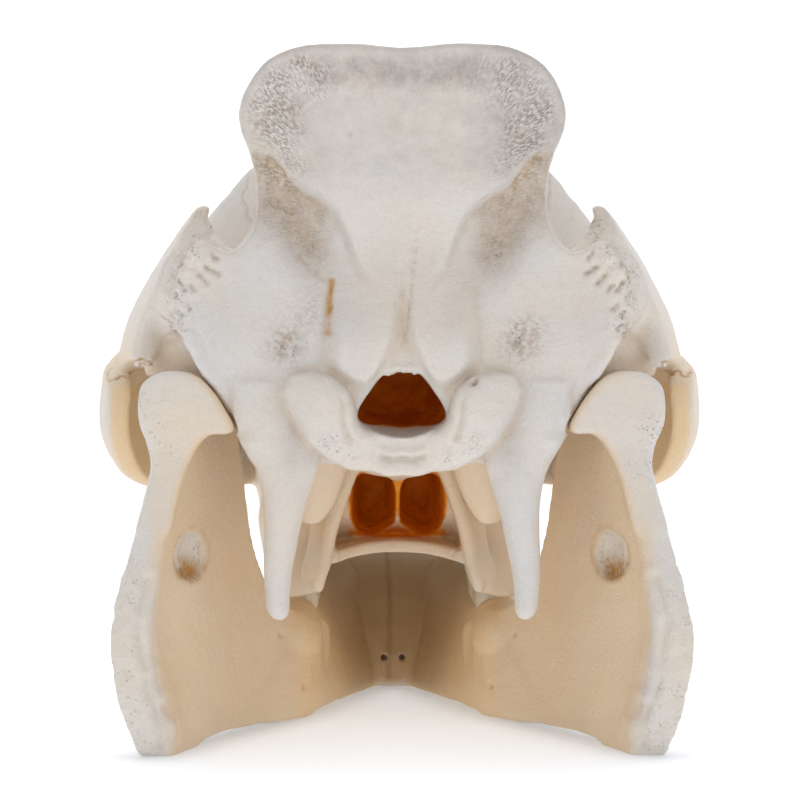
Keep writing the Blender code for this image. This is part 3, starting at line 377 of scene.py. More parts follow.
def roof_plate():
    """Frontal and parietal roof, narrow between the temporal fossae and wide over the orbits."""
    half = [
        (24, 0), (30, 1), (32, 7), (28, 15), (23.5, 27), (24, 38), (30, 48), (38, 56.5), (44, 63),
        (49, 69.5), (54.6, 76.5), (54.4, 84), (48, 89), (45, 96), (44, 105), (42, 114), (38, 122), (31, 130),
        (23, 138), (15, 146),
    ]
    thick = 11.0

    def warp(x, fwd, c):
        thinner = 1 - 0.35 * ramp(np.abs(x), 30, 50)
        top = roof_height(x, fwd)
        return x, fwd, top + (c - thick / 2) * thinner

    return slab("roof", mirrored_outline(half), thick, warp)


BRAINCASE = [  # fwd, half width, top, bottom
    (17, 20, 152, 76), (22, 26, 157, 73), (34, 32, 157, 70), (50, 32, 151, 69),
    (63, 28, 145, 68), (74, 24, 139, 67), (88, 20, 132, 64), (104, 18, 125, 60),
]


def softened(value, power):
    """A sine or cosine bent outward, which turns a round ring into one with rounded corners."""
    return math.copysign(abs(value) ** power, value)


def unit_ring(count, across_power, up_power=None):
    """Points (across, up) round a ring of radius 1: powers of 1 make it round, smaller ones squarer."""
    angles = [2 * math.pi * i / count for i in range(count)]
    up_power = up_power or across_power
    return [(softened(math.cos(a), across_power), softened(math.sin(a), up_power)) for a in angles]


def mirrored_outline(half):
    """A closed outline from its left half; points on the middle line stay single."""
    return half + [(-x, other) for x, other in reversed(half) if x]


def ellipse_ring(fwd, half_width, top, bottom, power=2.0, count=32):
    middle = (top + bottom) / 2
    tall = (top - bottom) / 2
    return [(half_width * across, fwd, middle + tall * up) for across, up in unit_ring(count, 2 / power)]


def braincase():
    """The brain's box, and the bone that fills the space under the crest."""
    rear = [(10, 22, 169, 146), (16, 23, 167, 138), (28, 22, 163, 130), (44, 24, 157, 120)]
    return [
        loft("braincase", [ellipse_ring(*row, power=2.2) for row in BRAINCASE]),
        loft("crest_core", [ellipse_ring(*row, power=2.6) for row in rear]),
    ]


MUZZLE = [  # fwd, roof height and half width, middle height and half width, gum height and half width
    (78, 132, 16, 88, 16, 58, 14),
    (87, 132, 24, 84, 27, 52, 24),
    (98, 128, 31, 84, 41, 46, 34),
    (112, 122, 31, 84, 43, 45, 35),
    (126, 114, 26, 80, 37, 45.5, 33.5),
    (140, 107, 20.5, 76, 31, 46, 33),
    (156, 101, 17.5, 73, 27, 47, 31.5),
    (175, 96, 16.5, 70, 23.5, 48, 28),
    (193, 91.5, 15.5, 67, 22.5, 49.5, 24.8),
    (208, 87, 14.5, 66, 22.5, 50.5, 22),
    (222, 81, 13.5, 65, 21, 51.5, 19.5),
    (235, 75, 12.5, 63.5, 19.5, 52.5, 18),
    (246, 70, 10.5, 62, 16.5, 53.5, 15.5),
    (254, 65, 7, 60, 11.5, 54.5, 11),
]


def muzzle():
    rings = []
    for fwd, top, top_half, mid, mid_half, gum, gum_half in MUZZLE:
        half = [
            (0, top + 0.6), (top_half * 0.6, top), (top_half, top - 3.5),
            (top_half * 0.6 + mid_half * 0.42, (top + mid) / 2), (mid_half, mid),
            ((mid_half + gum_half) / 2, mid * 0.35 + gum * 0.65), (gum_half, gum + 3),
            (gum_half * 0.86, gum), (gum_half * 0.5, gum + 0.8), (0, gum + 1.6),
        ]
        rings.append([(x, fwd, height) for x, height in rounded(mirrored_outline(half), 3)])
    return loft("muzzle", rings)


def nasals():
    rows = [(128, 15), (150, 14), (175, 13), (200, 12.5), (220, 12), (234, 10.5), (242, 7), (245, 3)]
    rings = []
    for fwd, half in rows:
        top = float(follow(fwd, ROOF_MID))
        rings.append(ellipse_ring(fwd, half, top, top - 8, 2.6, 24))
    return loft("nasals", rings)


NUCHAL_HALF = [  # outline of the plate at the back of the skull: x, height
    (0, 177.6), (6, 178), (13, 178.6), (24, 178.3), (30, 176.6), (34.5, 174), (38, 169.8), (40.4, 165),
    (41, 160.5), (39.8, 155.5), (37.8, 151), (37, 146), (37, 140), (37.8, 134.5), (40.2, 130), (44.3, 127.8),
    (48.5, 129.3), (51.5, 131), (55, 126), (58, 119.5), (58.6, 114), (56.6, 108.2), (53.5, 101), (50.5, 96),
    (47, 90), (44, 84.5), (41, 78.5), (37, 72), (31, 67.5), (25.5, 69.5), (21.5, 73.5), (16, 73.5), (10, 72),
    (0, 72.5),
]
REAR_FACE = [  # height, how far forward the middle of the rear face lies
    (66, 15), (80, 14.5), (92, 11.5), (102, 10.5), (115, 11.5), (128, 11), (140, 8.5), (150, 5), (160, 0),
    (168, -4.5), (178, -10),
]
CREST_V = [  # x, height of the edge from the crest's corner down to the middle line
    (0, 106), (2.3, 111), (5.2, 118), (8.5, 123), (11.9, 128), (13.6, 132.6), (16, 137.4), (20.9, 142.2),
    (25.9, 145.2), (28.6, 148), (32, 152.2), (36, 154.5), (42, 156),
]
HOLLOW_DEPTH = [  # x, how far the hollow sinks in behind that edge
    (0, 0), (6, 0), (10, 1.2), (14, 3.0), (18, 5.0), (23, 6.6), (30, 7.2), (36, 5.6), (42, 3.0), (60, 1),
]
LOBE_LOW = [  # x, height of the lobes' lower edge
    (0, 98), (4.4, 98), (9, 93), (11.6, 93.4), (14.7, 95.2), (18, 98.2), (21, 100),
]
LOBE_INNER = [(92, 5.8), (98, 4.4), (103, 2.4), (108, 1.0), (114, 0.3)]   # height, x of their inner edge
LOBE_OUTER = [(95, 17), (100, 20), (106, 19.4), (114, 18.9), (121, 18.4), (130, 16)]   # and outer edge
VALLEY = [(66, 20), (71, 23), (76, 26), (82.5, 27.8), (89, 29.2), (96, 30)]   # height, x beside the condyle


def nuchal_lobes(side, height):
    """How far the two swellings over the foramen magnum stand out, with a groove on each side of them."""
    inner = follow(height, LOBE_INNER)
    outer = follow(height, LOBE_OUTER)
    rise = ramp(side, inner - 0.5, inner + 2.4) * (1 - ramp(side, outer - 5, outer + 0.6))
    low = follow(side, LOBE_LOW)
    rise = rise * ramp(height, low - 0.8, low + 2.6) * (1 - ramp(height, 103, 130))
    groove = bell(side - outer, 1.3) * ramp(height, 97, 103) * (1 - ramp(height, 116, 126))
    return 4.8 * rise - 1.0 * groove


def nuchal_rear(x, height):
    """How far forward the plate's rear face lies before it is carved."""
    side = np.abs(x)
    corner = 2.4 * ramp(side, 20, 36) * ramp(height, 140, 162)
    mastoid = 5.0 * ramp(side, 44, 56) * ramp(height, 84, 96)
    return follow(height, REAR_FACE) + 0.0022 * side ** 2 - corner - mastoid


def nuchal_carving(x, height):
    """How far the rear face then sinks in: the V's sides, the valleys beside the condyles, the lobes."""
    side = np.abs(x)
    below = follow(side, CREST_V) - height
    hollow = follow(side, HOLLOW_DEPTH) * ramp(below, -0.5, 3.2) * (1 - ramp(below, 7, 30))
    dimple = 1.3 * bell(side - 29.6, 5) * bell(height - 104.5, 4)
    beside = bell(side - follow(height, VALLEY), 3.4)
    valley = 6.0 * beside * ramp(height, 66, 74) * (1 - ramp(height, 82, 92))
    return hollow + dimple + valley - nuchal_lobes(side, height)


def carve_rear(whole):
    """Sinks the rear face in place, so that its edges stay crisp."""
    points = points_of(whole)
    x, y, height = points.T / MM
    fwd = CONDYLE_Y - y
    behind = fwd - nuchal_rear(x, height)
    depth = nuchal_carving(x, height) * (1 - ramp(behind, 3, 9)) * ramp(height, 64, 70)
    points[:, 1] -= depth * MM
    set_points(whole, points)


def nuchal_plate():
    """The upright plate at the back, from the crest down to the condyles."""
    thick = 14.0

    def warp(x, height, c):
        thinner = 1 - 0.45 * ramp(np.abs(x), 36, 56)
        return x, nuchal_rear(x, height) + (c + thick / 2) * thinner, height

    return slab("nuchal_plate", mirrored_outline(NUCHAL_HALF), thick, warp)


ARCH_ALONG = [  # fwd, how much further in than at its widest the arch's outer face lies
    (10, -11), (20, -6), (35, -2), (50, 0), (65, -1.5), (80, -6), (95, -13.5), (110, -23), (125, -34),
    (137, -44),
]


def arch_outer(fwd, height, widest):
    """x of the zygomatic arch's outer face."""
    along = follow(fwd, ARCH_ALONG)
    above = np.maximum(height - CHEEK_HEIGHT, 0)
    below = np.maximum(CHEEK_HEIGHT - height, 0)
    return widest + along - 0.0066 * above ** 2 - 0.026 * below ** 2


TEMPORAL_OUTLINE = [  # fwd, height
    (21.5, 98), (21, 108), (21.2, 119), (21.8, 130), (23, 138), (26, 140), (29.5, 138), (33, 129), (40, 119),
    (49, 111), (58, 106), (66, 102), (66, 96), (56, 93), (46, 94), (37, 97), (28, 100), (20, 100),
]
JUGAL_OUTLINE = [  # fwd, height
    (29, 87), (29.5, 94), (35, 97.5), (48, 98), (60, 101), (69, 104), (75, 109), (79, 114.5), (84, 111),
    (89, 101), (97, 94.5), (107, 93), (117, 96), (126, 96), (132, 88), (133, 78), (126, 69), (112, 65),
    (94, 64), (76, 64.5), (58, 66.5), (44, 71), (34, 78),
]


def arch_plate(name, outline, thick, widest):
    """Bowed plate of the zygomatic arch, thicker towards the face."""
    def warp(fwd, height, c):
        outer = arch_outer(fwd, height, widest)
        inward = ramp(fwd, 92, 130) * 10
        thin = 1 - 0.42 * ramp(height, 122, 133)
        return outer - (thick / 2 - c) * thin - 0.6 * inward * (c < 0), fwd, height

    return slab(name, outline, thick, warp)


ROOT_BARS = {  # name: (x, fwd, height, radius) along each bar between the braincase, arch and crest
    "root": [(24, 28, 110, 13), (40, 28, 109, 11), (54, 29, 107, 8.2), (66, 29.5, 105, 7)],
    "joint_bar": [(38, 31, 101, 6.5), (52, 31, 100.5, 6.2), (66, 32, 101, 5.5)],
    "meatus": [(40, 25, 116, 9), (50, 28, 120, 7.5), (54.5, 28, 126, 4.8)],
    "edge_bar": [(50.5, 26, 133, 3.2), (54.5, 24.2, 128, 4.2), (58, 23.4, 121, 5.0), (58.8, 23, 113.5, 5.0),
                 (57, 22.4, 107.5, 4.0)],
    "crest_corner": [(35, 4, 165, 5.2), (33, 9, 162, 6), (27, 20, 159, 5.5), (23.5, 34, 154, 4.5)],
    "fossa_corner": [(25, 15, 160, 7), (26, 21, 150, 9), (28.5, 23, 138, 9.5), (32, 25, 124, 10)],
    "crest_to_peak": [(36.5, 8, 156, 3.2), (35, 14, 148, 3.2), (34.6, 17, 140, 3.4),
                      (36.8, 19.5, 131.5, 3.4), (42, 22.5, 125.6, 3.2), (46, 23.6, 126.4, 3.0),
                      (50, 25, 131, 2.6), (51.6, 25.6, 136, 2.2)],
}
POSTORBITAL = {  # x: fwd and height of the front and the rear wall between the temporal fossa and the orbit
    22: [(50, 149), (84, 137), (82, 104), (70, 100), (52, 108)],
    32: [(54, 150), (82, 139), (79, 113), (69, 109), (56, 118)],
    40: [(60, 149), (80, 140), (77, 124), (69, 119), (61, 127)],
    48: [(67, 143), (80, 137), (78, 130), (73, 127), (67, 131)],
    54: [(73, 136), (81, 132), (80, 129.5), (76, 128.5), (73, 130.5)],
}
CONDYLE = [  # inner x and height, outer x and height, fwd of the rear face, from the top to the middle line
    (23.0, 97.4, 28.6, 96.2, 6.4), (17.6, 96.2, 30.2, 92.4, 4.6), (13.4, 92.6, 29.2, 88.6, 3.4),
    (11.8, 88.2, 27.2, 84.6, 3.2), (11.2, 84.6, 24.2, 79.8, 3.8), (8.4, 82.2, 19.6, 75.6, 5.2),
    (4.6, 81.2, 13.4, 72.2, 7.4), (0, 81.0, 3.0, 71.4, 9.2),
]
CONDYLE_FRONT = 18.0       # fwd of the condyles' buried front
CONDYLE_CORNERS = 0.62     # how square their rings are: 1 is round
PARACONDYLAR = [  # x, fwd, height, half width and half depth of the long process outside each condyle
    (34.5, 17.0, 95, 10.0, 5.0), (32.6, 16.0, 86, 10.5, 6.0), (31.0, 15.5, 79, 9.8, 6.2),
    (29.2, 15.0, 73, 8.0, 6.4), (29.4, 14.5, 67, 6.2, 6.0), (30.1, 14.0, 60, 4.9, 5.6),
    (30.9, 14.0, 53, 4.3, 5.0), (31.6, 13.5, 46, 3.6, 4.2), (31.7, 13.0, 40, 3.1, 3.6),
    (31.6, 12.6, 37.4, 3.1, 3.4), (31.4, 12.5, 35.4, 2.5, 2.8), (31.2, 12.5, 34.2, 1.2, 1.4),
]


def temporal_root():
    """Bars that carry the arch from the braincase over the jaw joint, and tie it to the crest."""
    return [tube(name, path) for name, path in ROOT_BARS.items()]


def condyle():
    """Broad, flat-faced body beside and below the foramen magnum."""
    rings = []
    for inner_x, inner_height, outer_x, outer_height, rear in CONDYLE:
        ring = []
        for across, up in unit_ring(28, CONDYLE_CORNERS):
            share = (1 + across) / 2
            deep = (1 - up) / 2
            ring.append((inner_x + (outer_x - inner_x) * share, rear + (CONDYLE_FRONT - rear) * deep,
                         inner_height + (outer_height - inner_height) * share))
        rings.append(ring)
    return loft("condyle", rings)


def postorbital():
    """Wall between the temporal fossa and the orbit, under the roof's edge."""
    rings = [[(x, fwd, height) for fwd, height in rounded(outline, 3)] for x, outline in POSTORBITAL.items()]
    return loft("postorbital", rings)


def occipital_details():
    return [condyle(), loft("paracondylar", [blade_ring(*row) for row in PARACONDYLAR])]


def blade_ring(x, fwd, height, wide, deep):
    """Level ring of an upright process: wide across X and deep along the skull."""
    return [(x + wide * across, fwd + deep * along, height) for across, along in unit_ring(20, 1)]


KEEL = [  # fwd, half width, top, bottom of the base's middle bar
    (8, 11.5, 84, 71), (22, 11.5, 85, 70.5), (38, 12, 86, 70), (54, 11, 86, 70), (70, 12, 86, 69),
    (88, 14, 84, 66),
]
BULLA = [  # x, fwd, height, radius
    (20, 34, 84, 8.0), (21.5, 37, 74, 8.0), (22.5, 40, 66, 6.6), (23.4, 42, 60, 4.4), (23.6, 42.5, 57, 2.4),
]
PTERYGOID_OUTLINE = [  # fwd, height
    (60, 76), (64, 60), (67, 48), (66, 40), (68.5, 36.5), (72, 37), (74, 42), (79, 44), (90, 44), (98, 52),
    (98, 80), (80, 84), (66, 82),
]
PTERYGOID_LEAN = [  # height, x
    (34, 22.4), (40, 21.6), (44, 20.2), (52, 18.6), (61, 15.8), (69, 13.0), (84, 11.5),
]
PYRAMID = [  # x, fwd, height, radius
    (20, 78, 60, 3.4), (21.2, 75, 49, 3.6), (22.8, 71.5, 42.5, 3.8), (23.2, 70.5, 39.4, 3.4),
]
TUBER = {  # fwd: outline (x, height) of the upper jaw's end behind its last tooth
    79.5: [(21.6, 37.8), (26, 35.6), (31, 35.0), (33.4, 40), (31, 52), (24, 56), (20.6, 46)],
    83.0: [(20.4, 37.0), (25, 34.8), (32, 34.2), (35.6, 39.6), (34, 55), (24, 60), (19.6, 46)],
    87.0: [(20, 38.6), (25, 36.8), (32, 36.6), (36.6, 42), (35, 58), (24, 62), (19, 46)],
    93.0: [(19.6, 43), (25, 42), (32, 42), (37, 46), (38, 60), (24, 66), (18, 48)],
    108: [(19, 47), (25, 46), (32, 46), (36, 48), (38, 62), (24, 66), (17, 50)],
}


def keel():
    return loft("keel", [ellipse_ring(*row, power=2.4) for row in KEEL])


def skull_base():
    """Bulla, pterygoid blade with its hook, and the rear end of the upper jaw."""
    def lean(fwd, height, c):
        return follow(height, PTERYGOID_LEAN) + c, fwd, height

    tuber = [[(x, fwd, height) for x, height in rounded(outline, 3)] for fwd, outline in TUBER.items()]
    return [
        tube("bulla", BULLA),
        slab("pterygoid", PTERYGOID_OUTLINE, 3.6, lean, grid=1.0),
        tube("pyramid", PYRAMID),
        loft("tuber", tuber),
    ]


def palate():
    """Thin roof of the mouth, under the air passages."""
    half = [
        (4, 79.5), (12, 78.5), (18, 76), (24, 82), (28, 95), (27, 120), (25, 150), (22, 185), (20, 215),
        (14, 243), (5, 250),
    ]
    along = [(76, 48.2), (90, 49.2), (120, 49.8), (160, 50.8), (200, 52.6), (250, 55)]   # fwd, height

    def warp(x, fwd, c):
        middle = follow(fwd, along)
        return x, fwd, middle + c - 0.0085 * x ** 2 * (1 - ramp(fwd, 84, 110))

    return slab("palate", mirrored_outline(half), 3.4, warp)


def canine_sheath():
    return tube("canine_sheath", [(19, 196, 60, 7), (23.5, 203, 57.5, 7.6), (28, 210, 54.5, 6.0)])


# Openings and hollows of the cranium

MAGNUM_HALF = [  # x, height of the hole for the spinal cord
    (0, 98), (3.6, 97.4), (6.2, 95.0), (8.6, 91.6), (10.6, 88.6), (11.4, 85.8), (10.4, 84.2), (7.0, 82.2),
    (3.6, 81.2), (0, 80.8),
]
AIRWAY = [  # fwd, x, height of the middle, half width, half height
    (58, 6.9, 59.6, 6.3, 9.2), (72, 6.8, 59.2, 6.3, 9.2), (90, 6.5, 60.4, 5.9, 9.4),
    (112, 6.3, 62.0, 5.0, 8.6), (124, 6.2, 63.0, 3.4, 6.4),
]
SEPTUM_FOOT_HEIGHT = 4.0   # the septum between the passages widens to the palate over this height
SEPTUM_FOOT_SLOPE = 1.4    # by this much to each side
NOSTRIL = [  # x, fwd, height, radius
    (5.6, 264, 72, 8.0), (5.6, 246, 72.2, 7.6), (5.4, 226, 73.0, 7.2), (5.2, 204, 75, 6.4),
    (5.2, 180, 76.5, 5.2),
]
NOSE_GAP = [  # fwd, height of the notch between the nasal bones' tips and the jaw in front
    (208, 79), (222, 82.2), (240, 80.0), (262, 79), (266, 66), (254, 65), (240, 72), (222, 78),
]
ORBIT = [  # x, fwd, height, radius
    (92, 94, 113, 22), (64, 97, 112.5, 19.2), (50, 99, 111.5, 18.2), (38, 101, 110, 16.5),
    (28, 103, 107, 13), (22, 104, 104, 8),
]


def cranium_hollows():
    """Cutters for the brain cavity with its opening, the air passages, the orbits and the jaw's sockets."""
    outline = mirrored_outline(MAGNUM_HALF)
    magnum = slab("foramen_magnum", outline, 60, lambda x, height, c: (x, c + 8, height))
    brain = ball("brain_cavity", (0, 36, 93), (15, 22, 12.5), (-8, 0, 0))
    nose_gap = slab("nose_gap", NOSE_GAP, 60, lambda fwd, height, c: (c, fwd, height))
    paired = [
        loft("airway", [choana_ring(*row) for row in AIRWAY]),
        tube("nostril", NOSTRIL),
        tube("orbit", ORBIT, 5, 6),
        jaw_head(JOINT_GAP),
    ]
    return [magnum, brain, nose_gap, *both_sides(paired)]


def choana_ring(fwd, x, height, half_width, half_height):
    """Ring of an air passage, taller than wide with rounded corners, cut off by the foot of the septum."""
    ring = []
    for across, up in unit_ring(28, 0.6, 0.65):
        over_foot = SEPTUM_FOOT_HEIGHT - half_height - half_height * up
        nearest = x - half_width + SEPTUM_FOOT_SLOPE * max(over_foot, 0)
        ring.append((max(x + half_width * across, nearest), fwd, height + half_height * up))
    return ring


def cranium_body():
    core = fuse("core", [roof_plate(), *braincase(), nuchal_plate(), muzzle(), nasals(), keel()], 9)
    sides = both_sides([
        arch_plate("temporal", TEMPORAL_OUTLINE, 6.5, CHEEK_HALF_WIDTH - 3.2),
        arch_plate("jugal", JUGAL_OUTLINE, 6.5, CHEEK_HALF_WIDTH),
        *temporal_root(), postorbital(), *skull_base(), canine_sheath(),
    ])
    whole = fuse("cranium", [core, *sides], 3)
    shape_cranium(whole)
    carve_rear(whole)
    whole = fuse("cranium", [whole, *both_sides(occipital_details())], 1)
    whole = cut(whole, cranium_hollows())
    return fuse("cranium", [whole, palate()], 1)


def shape_cranium(whole):
    """Hollows and swellings that one push each makes."""
    push(whole, (44, 150, 74), (10, 26, 12), (-5, 0, 0))       # canine fossa
    push(whole, (30, 44, 130), (14, 18, 22), (-4, 0, 0))       # temporal fossa
    push(whole, (0, 150, 110), (30, 24, 16), (0, 0, -2.5), mirror=False)   # dish of the face
    push(whole, (30, 62, 92), (12, 14, 16), (-4, 0, 0))        # side of the braincase over the jaw
    push(whole, (61, 23, 105), (6, 10, 6.5), (0, 3.5, 0))      # rear of the arch's root, over the jaw's head


# The lower jaw

RAMUS_OUTLINE = [  # fwd, height
    (14, 86), (15.5, 78), (14.5, 66), (11, 54), (7, 42), (4, 32), (2.8, 22), (3.2, 12), (6, 3.5),
    (11, -1.0), (20, -1.2), (28, -0.4), (36, 0.8), (50, 1.0), (62, 0.9), (78, 0.9), (96, 0.8), (104, 10),
    (104, 24), (92, 29), (80, 32), (73, 40), (67, 54), (63, 70), (57, 84), (50, 94), (44, 99.5), (39, 97),
    (33, 90.5), (26, 88), (20, 90),
]
JAW_LINE_LOW = [  # fwd, x of the jaw's middle surface along its lower edge
    (0, 65), (10, 61.5), (28, 55.2), (48, 49.8), (58, 46), (68, 41.8), (80, 36.2), (98, 29.4), (122, 23.0),
    (135, 20), (162, 12), (200, 9),
]
JAW_LINE_HIGH = [  # and along its tooth row and upper part
    (0, 66), (15, 62), (40, 51), (65, 43.6), (80, 35), (98, 27.5), (135, 23), (162, 20), (200, 18),
]


def jaw_centre(fwd, height):
    """x of the jaw's middle surface: a V in plan, whose rear flares out at mid height."""
    lean = ramp(height, 4, 34)
    x = follow(fwd, JAW_LINE_LOW) * (1 - lean) + follow(fwd, JAW_LINE_HIGH) * lean
    flare = 4.5 * bell(height - 30, 24) * (1 - ramp(fwd, 4, 34))
    return x + flare - 3.0 * ramp(height, 60, 95) * (1 - ramp(fwd, 20, 50))


def ramus():
    """Upright plate of the jaw, with a thicker rear rim."""
    thick = 6.0

    def warp(fwd, height, c):
        body = 1.4 * ramp(fwd, 52, 88) * (1 - ramp(height, 24, 44))
        rim = 1 + 0.5 * (1 - ramp(fwd, 8, 22)) + 0.3 * ramp(fwd, 66, 92) + body
        return jaw_centre(fwd, height) + c * rim, fwd, height

    return slab("ramus", RAMUS_OUTLINE, thick, warp)


JAW_BODY = [  # fwd, x of bottom and top, bottom, top, half thickness
    (66, 39.6, 41.0, 1.2, 8, 2.8), (74, 35.6, 36.4, 0.5, 20, 6.0), (82, 32.4, 31.6, 0.4, 30, 8.2),
    (89, 29.8, 29.2, 0.4, 33.2, 8.2), (98, 27.2, 28.8, 0.4, 33.6, 7.7), (110, 24.2, 28.2, 0.4, 32, 7.4),
    (122, 21.4, 27.6, 0.3, 31, 7.2), (135, 18.4, 27.0, 0.0, 31.4, 7.0), (148, 15.6, 26.0, -0.6, 33, 6.8),
    (160, 12.4, 24.6, -1.0, 35, 7.0), (172, 9.0, 23.0, -0.8, 36, 7.4), (182, 8.5, 21.4, 1.6, 37.5, 7.6),
    (192, 9.5, 19.8, 4.5, 39, 7.6),
]


def leaning_ring(fwd, low_x, high_x, bottom, top, half):
    """Ring of the jaw's body: upright, leaning from its lower edge to its tooth row."""
    ring = []
    for across, up in unit_ring(28, 0.6):
        share = (up + 1) / 2
        ring.append((low_x + (high_x - low_x) * share + half * across, fwd, bottom + (top - bottom) * share))
    return ring


def chin():
    """Symphysis: both halves of the jaw joined, rising forward to the incisors."""
    rows = [  # fwd, half width, top, bottom
        (167, 4, 10, 2.0), (171, 11, 18, -0.8), (178, 17, 27, 0.4), (190, 21.5, 33.5, 4.5),
        (203, 23.5, 38.0, 12.5), (215, 22.5, 41.5, 20.0), (226, 19.5, 44, 27.5), (236, 15.5, 46.5, 34.5),
        (243, 11, 47.5, 39.5),
    ]
    return loft("chin", [ellipse_ring(*row, power=2.6) for row in rows])


JAW_HEAD_OUTLINE = [  # x, height of the head and neck from behind
    (66.6, 93), (62.5, 96.6), (57, 97.4), (52, 96.2), (48, 92.2), (44.6, 87), (42.6, 82.8), (44.5, 81.2),
    (48.5, 81.4), (51.2, 79.4), (53.2, 76), (55.2, 71.5), (57, 65), (59.5, 56), (67.4, 56), (65.4, 65),
    (63.8, 72), (64.8, 78.6), (67, 85),
]
JAW_HEAD_DEEP = [(56, 0.55), (66, 0.6), (76, 0.72), (84, 1.0), (98, 1.0)]   # height, share of thickness
JAW_HEAD_MIDDLE = [(56, 14.5), (66, 16.5), (80, 19.0), (98, 19.0)]          # height, fwd of its middle
JAW_NECK = [  # x, fwd, height, radius
    (61.2, 16.8, 70, 3.6), (62.8, 14.6, 60, 3.8), (65.2, 11.5, 48, 3.8), (67.2, 8, 36, 3.8),
    (67.0, 6.6, 24, 3.8), (64.2, 7.0, 12, 3.6), (60.6, 11, 4.6, 3.4),
]


def jaw_head(grow=0.0):
    """Triangular head of the jaw on a neck that thins downwards, or with grow the socket that clears it."""
    outline = offset_outline(JAW_HEAD_OUTLINE, grow)

    def warp(x, height, c):
        deep = follow(height, JAW_HEAD_DEEP)
        middle = follow(height, JAW_HEAD_MIDDLE)
        return x, middle + 0.09 * (56 - x) + c * deep, height

    return slab("jaw_head", outline, 13.0 + 2 * grow, warp)


MOLAR_BULGE = ((28.6, 90, 23.4), (8.0, 13.0, 9.0))      # soft end of the lower tooth row: place, radii


def mandible_body():
    sides = both_sides([
        ramus(),
        loft("jaw_body", [leaning_ring(*row) for row in JAW_BODY]),
        jaw_head(), tube("jaw_neck", JAW_NECK), ball("molar_bulge", *MOLAR_BULGE),
        tube("canine_root", [(17.5, 190, 32, 6.0), (20.5, 200, 35.5, 6.4), (23.5, 208, 39.5, 4.6)]),
    ])
    whole = fuse("mandible", [*sides, chin()], 5)
    push(whole, (0, 196, 46), (11, 16, 7), (0, 0, -5), mirror=False)   # trough behind the incisors
    whole = cut(whole, jaw_hollows())
    return fuse("mandible", [whole], 1)


def jaw_hollows():
    canal = ball("jaw_canal", (52.6, 27, 49.6), (3.2, 4.8, 7.6), (-14, 0, -24))
    chin_hole = tube("mental", [(30, 163, 17, 1.6), (20, 160, 17, 1.6), (16, 158, 17, 1.2)])
    tongue_hole = tube("lingual", [(2.8, 160, 9.0, 1.1), (2.8, 172, 9.0, 1.1)])
    return both_sides([canal, chin_hole, tongue_hole])


# Teeth: each row is a loop over its teeth, from the front back

UPPER_CHEEK = [  # name, fwd of its middle, x, length, width, crown height
    ("P1", 196.5, 23.0, 7.5, 4.0, 5.0),
    ("P2", 186.5, 24.2, 10.5, 5.2, 6.4),
    ("P3", 174.8, 25.4, 11.5, 7.0, 7.2),
    ("P4", 163.0, 26.8, 11.0, 10.0, 7.2),
    ("M1", 149.4, 27.4, 15.0, 11.8, 6.6),
    ("M2", 131.6, 28.2, 19.0, 13.6, 7.4),
    ("M3", 108.8, 28.6, 25.0, 14.2, 7.0),
]
LOWER_CHEEK = [  # the same for the lower jaw
    ("P2", 182.5, 22.0, 10.0, 4.6, 6.6),
    ("P3", 171.2, 23.6, 11.0, 5.6, 7.4),
    ("P4", 158.4, 25.2, 13.0, 7.6, 7.6),
    ("M1", 143.6, 26.6, 15.0, 9.6, 7.0),
    ("M2", 125.8, 27.6, 19.0, 11.8, 7.6),
    ("M3", 103.7, 28.4, 24.4, 12.4, 7.2),
]
UPPER_INCISORS = {  # name: (x, fwd, height, radius) from the root to the tip
    "I1": [(6.0, 240, 60, 3.6), (6.2, 247, 56.5, 4.2), (5.6, 252.6, 52.8, 4.0), (4.8, 255.6, 50.2, 3.1),
           (4.4, 256.4, 49.0, 1.8)],
    "I2": [(14.5, 236, 58, 2.8), (15.0, 238.5, 54.0, 3.2), (14.6, 241.5, 51.0, 2.7),
           (14.2, 242.5, 49.6, 1.4)],
    "I3": [(18.0, 224, 56, 2.2), (18.6, 225.5, 52.5, 2.6), (18.4, 227.5, 49.8, 1.5)],
}
LOWER_INCISORS = {  # long, nearly straight teeth that lie forward, side by side
    "i1": [(3.6, 226, 38.5, 3.2), (3.7, 238, 40.8, 3.3), (3.4, 250, 42.6, 3.0), (3.2, 258, 43.4, 2.3),
           (3.2, 261.4, 43.8, 1.2)],
    "i2": [(9.8, 224, 38.5, 3.1), (10.0, 236, 41.0, 3.3), (9.7, 248, 43.0, 2.9), (9.3, 255, 43.8, 2.1),
           (9.1, 257.5, 44.1, 1.1)],
    "i3": [(15.8, 219, 38, 2.4), (16.4, 226, 41.8, 2.6), (16.8, 231, 43.8, 1.5)],
}
TWO_ROW_WIDTH = 8.0        # cheek teeth wider than this have two rows of cusps
CUSP_SPACING = 7.0         # and a pair of cusps for each of these lengths
ONE_CUSP_LENGTH = 9.0      # narrow teeth shorter than this have one cusp
CROWN_RINGS = ((0.30, 0.90), (0.55, 1.0), (1.0, 0.96), (1.9, 0.80))           # share of height, of width
CUSP_RINGS = ((0.30, 0.0), (0.62, 0.12), (0.86, 0.32), (1.0, 0.62), (0.9, 1.0))   # share of width, depth


def occlusion(fwd):
    return OCCLUSION_REAR + (OCCLUSION_FRONT - OCCLUSION_REAR) * (fwd - 95) / 100


def cusp(name, x, fwd, tip, half_width, half_length, crown):
    """Blunt cone that rises from the crown to its tip; crown is negative on a lower tooth."""
    rings = []
    for share, depth in CUSP_RINGS:
        rings.append([(x + half_width * share * across, fwd + half_length * share * along,
                       tip + crown * depth) for across, along in unit_ring(12, 1)])
    return loft(name, rings)


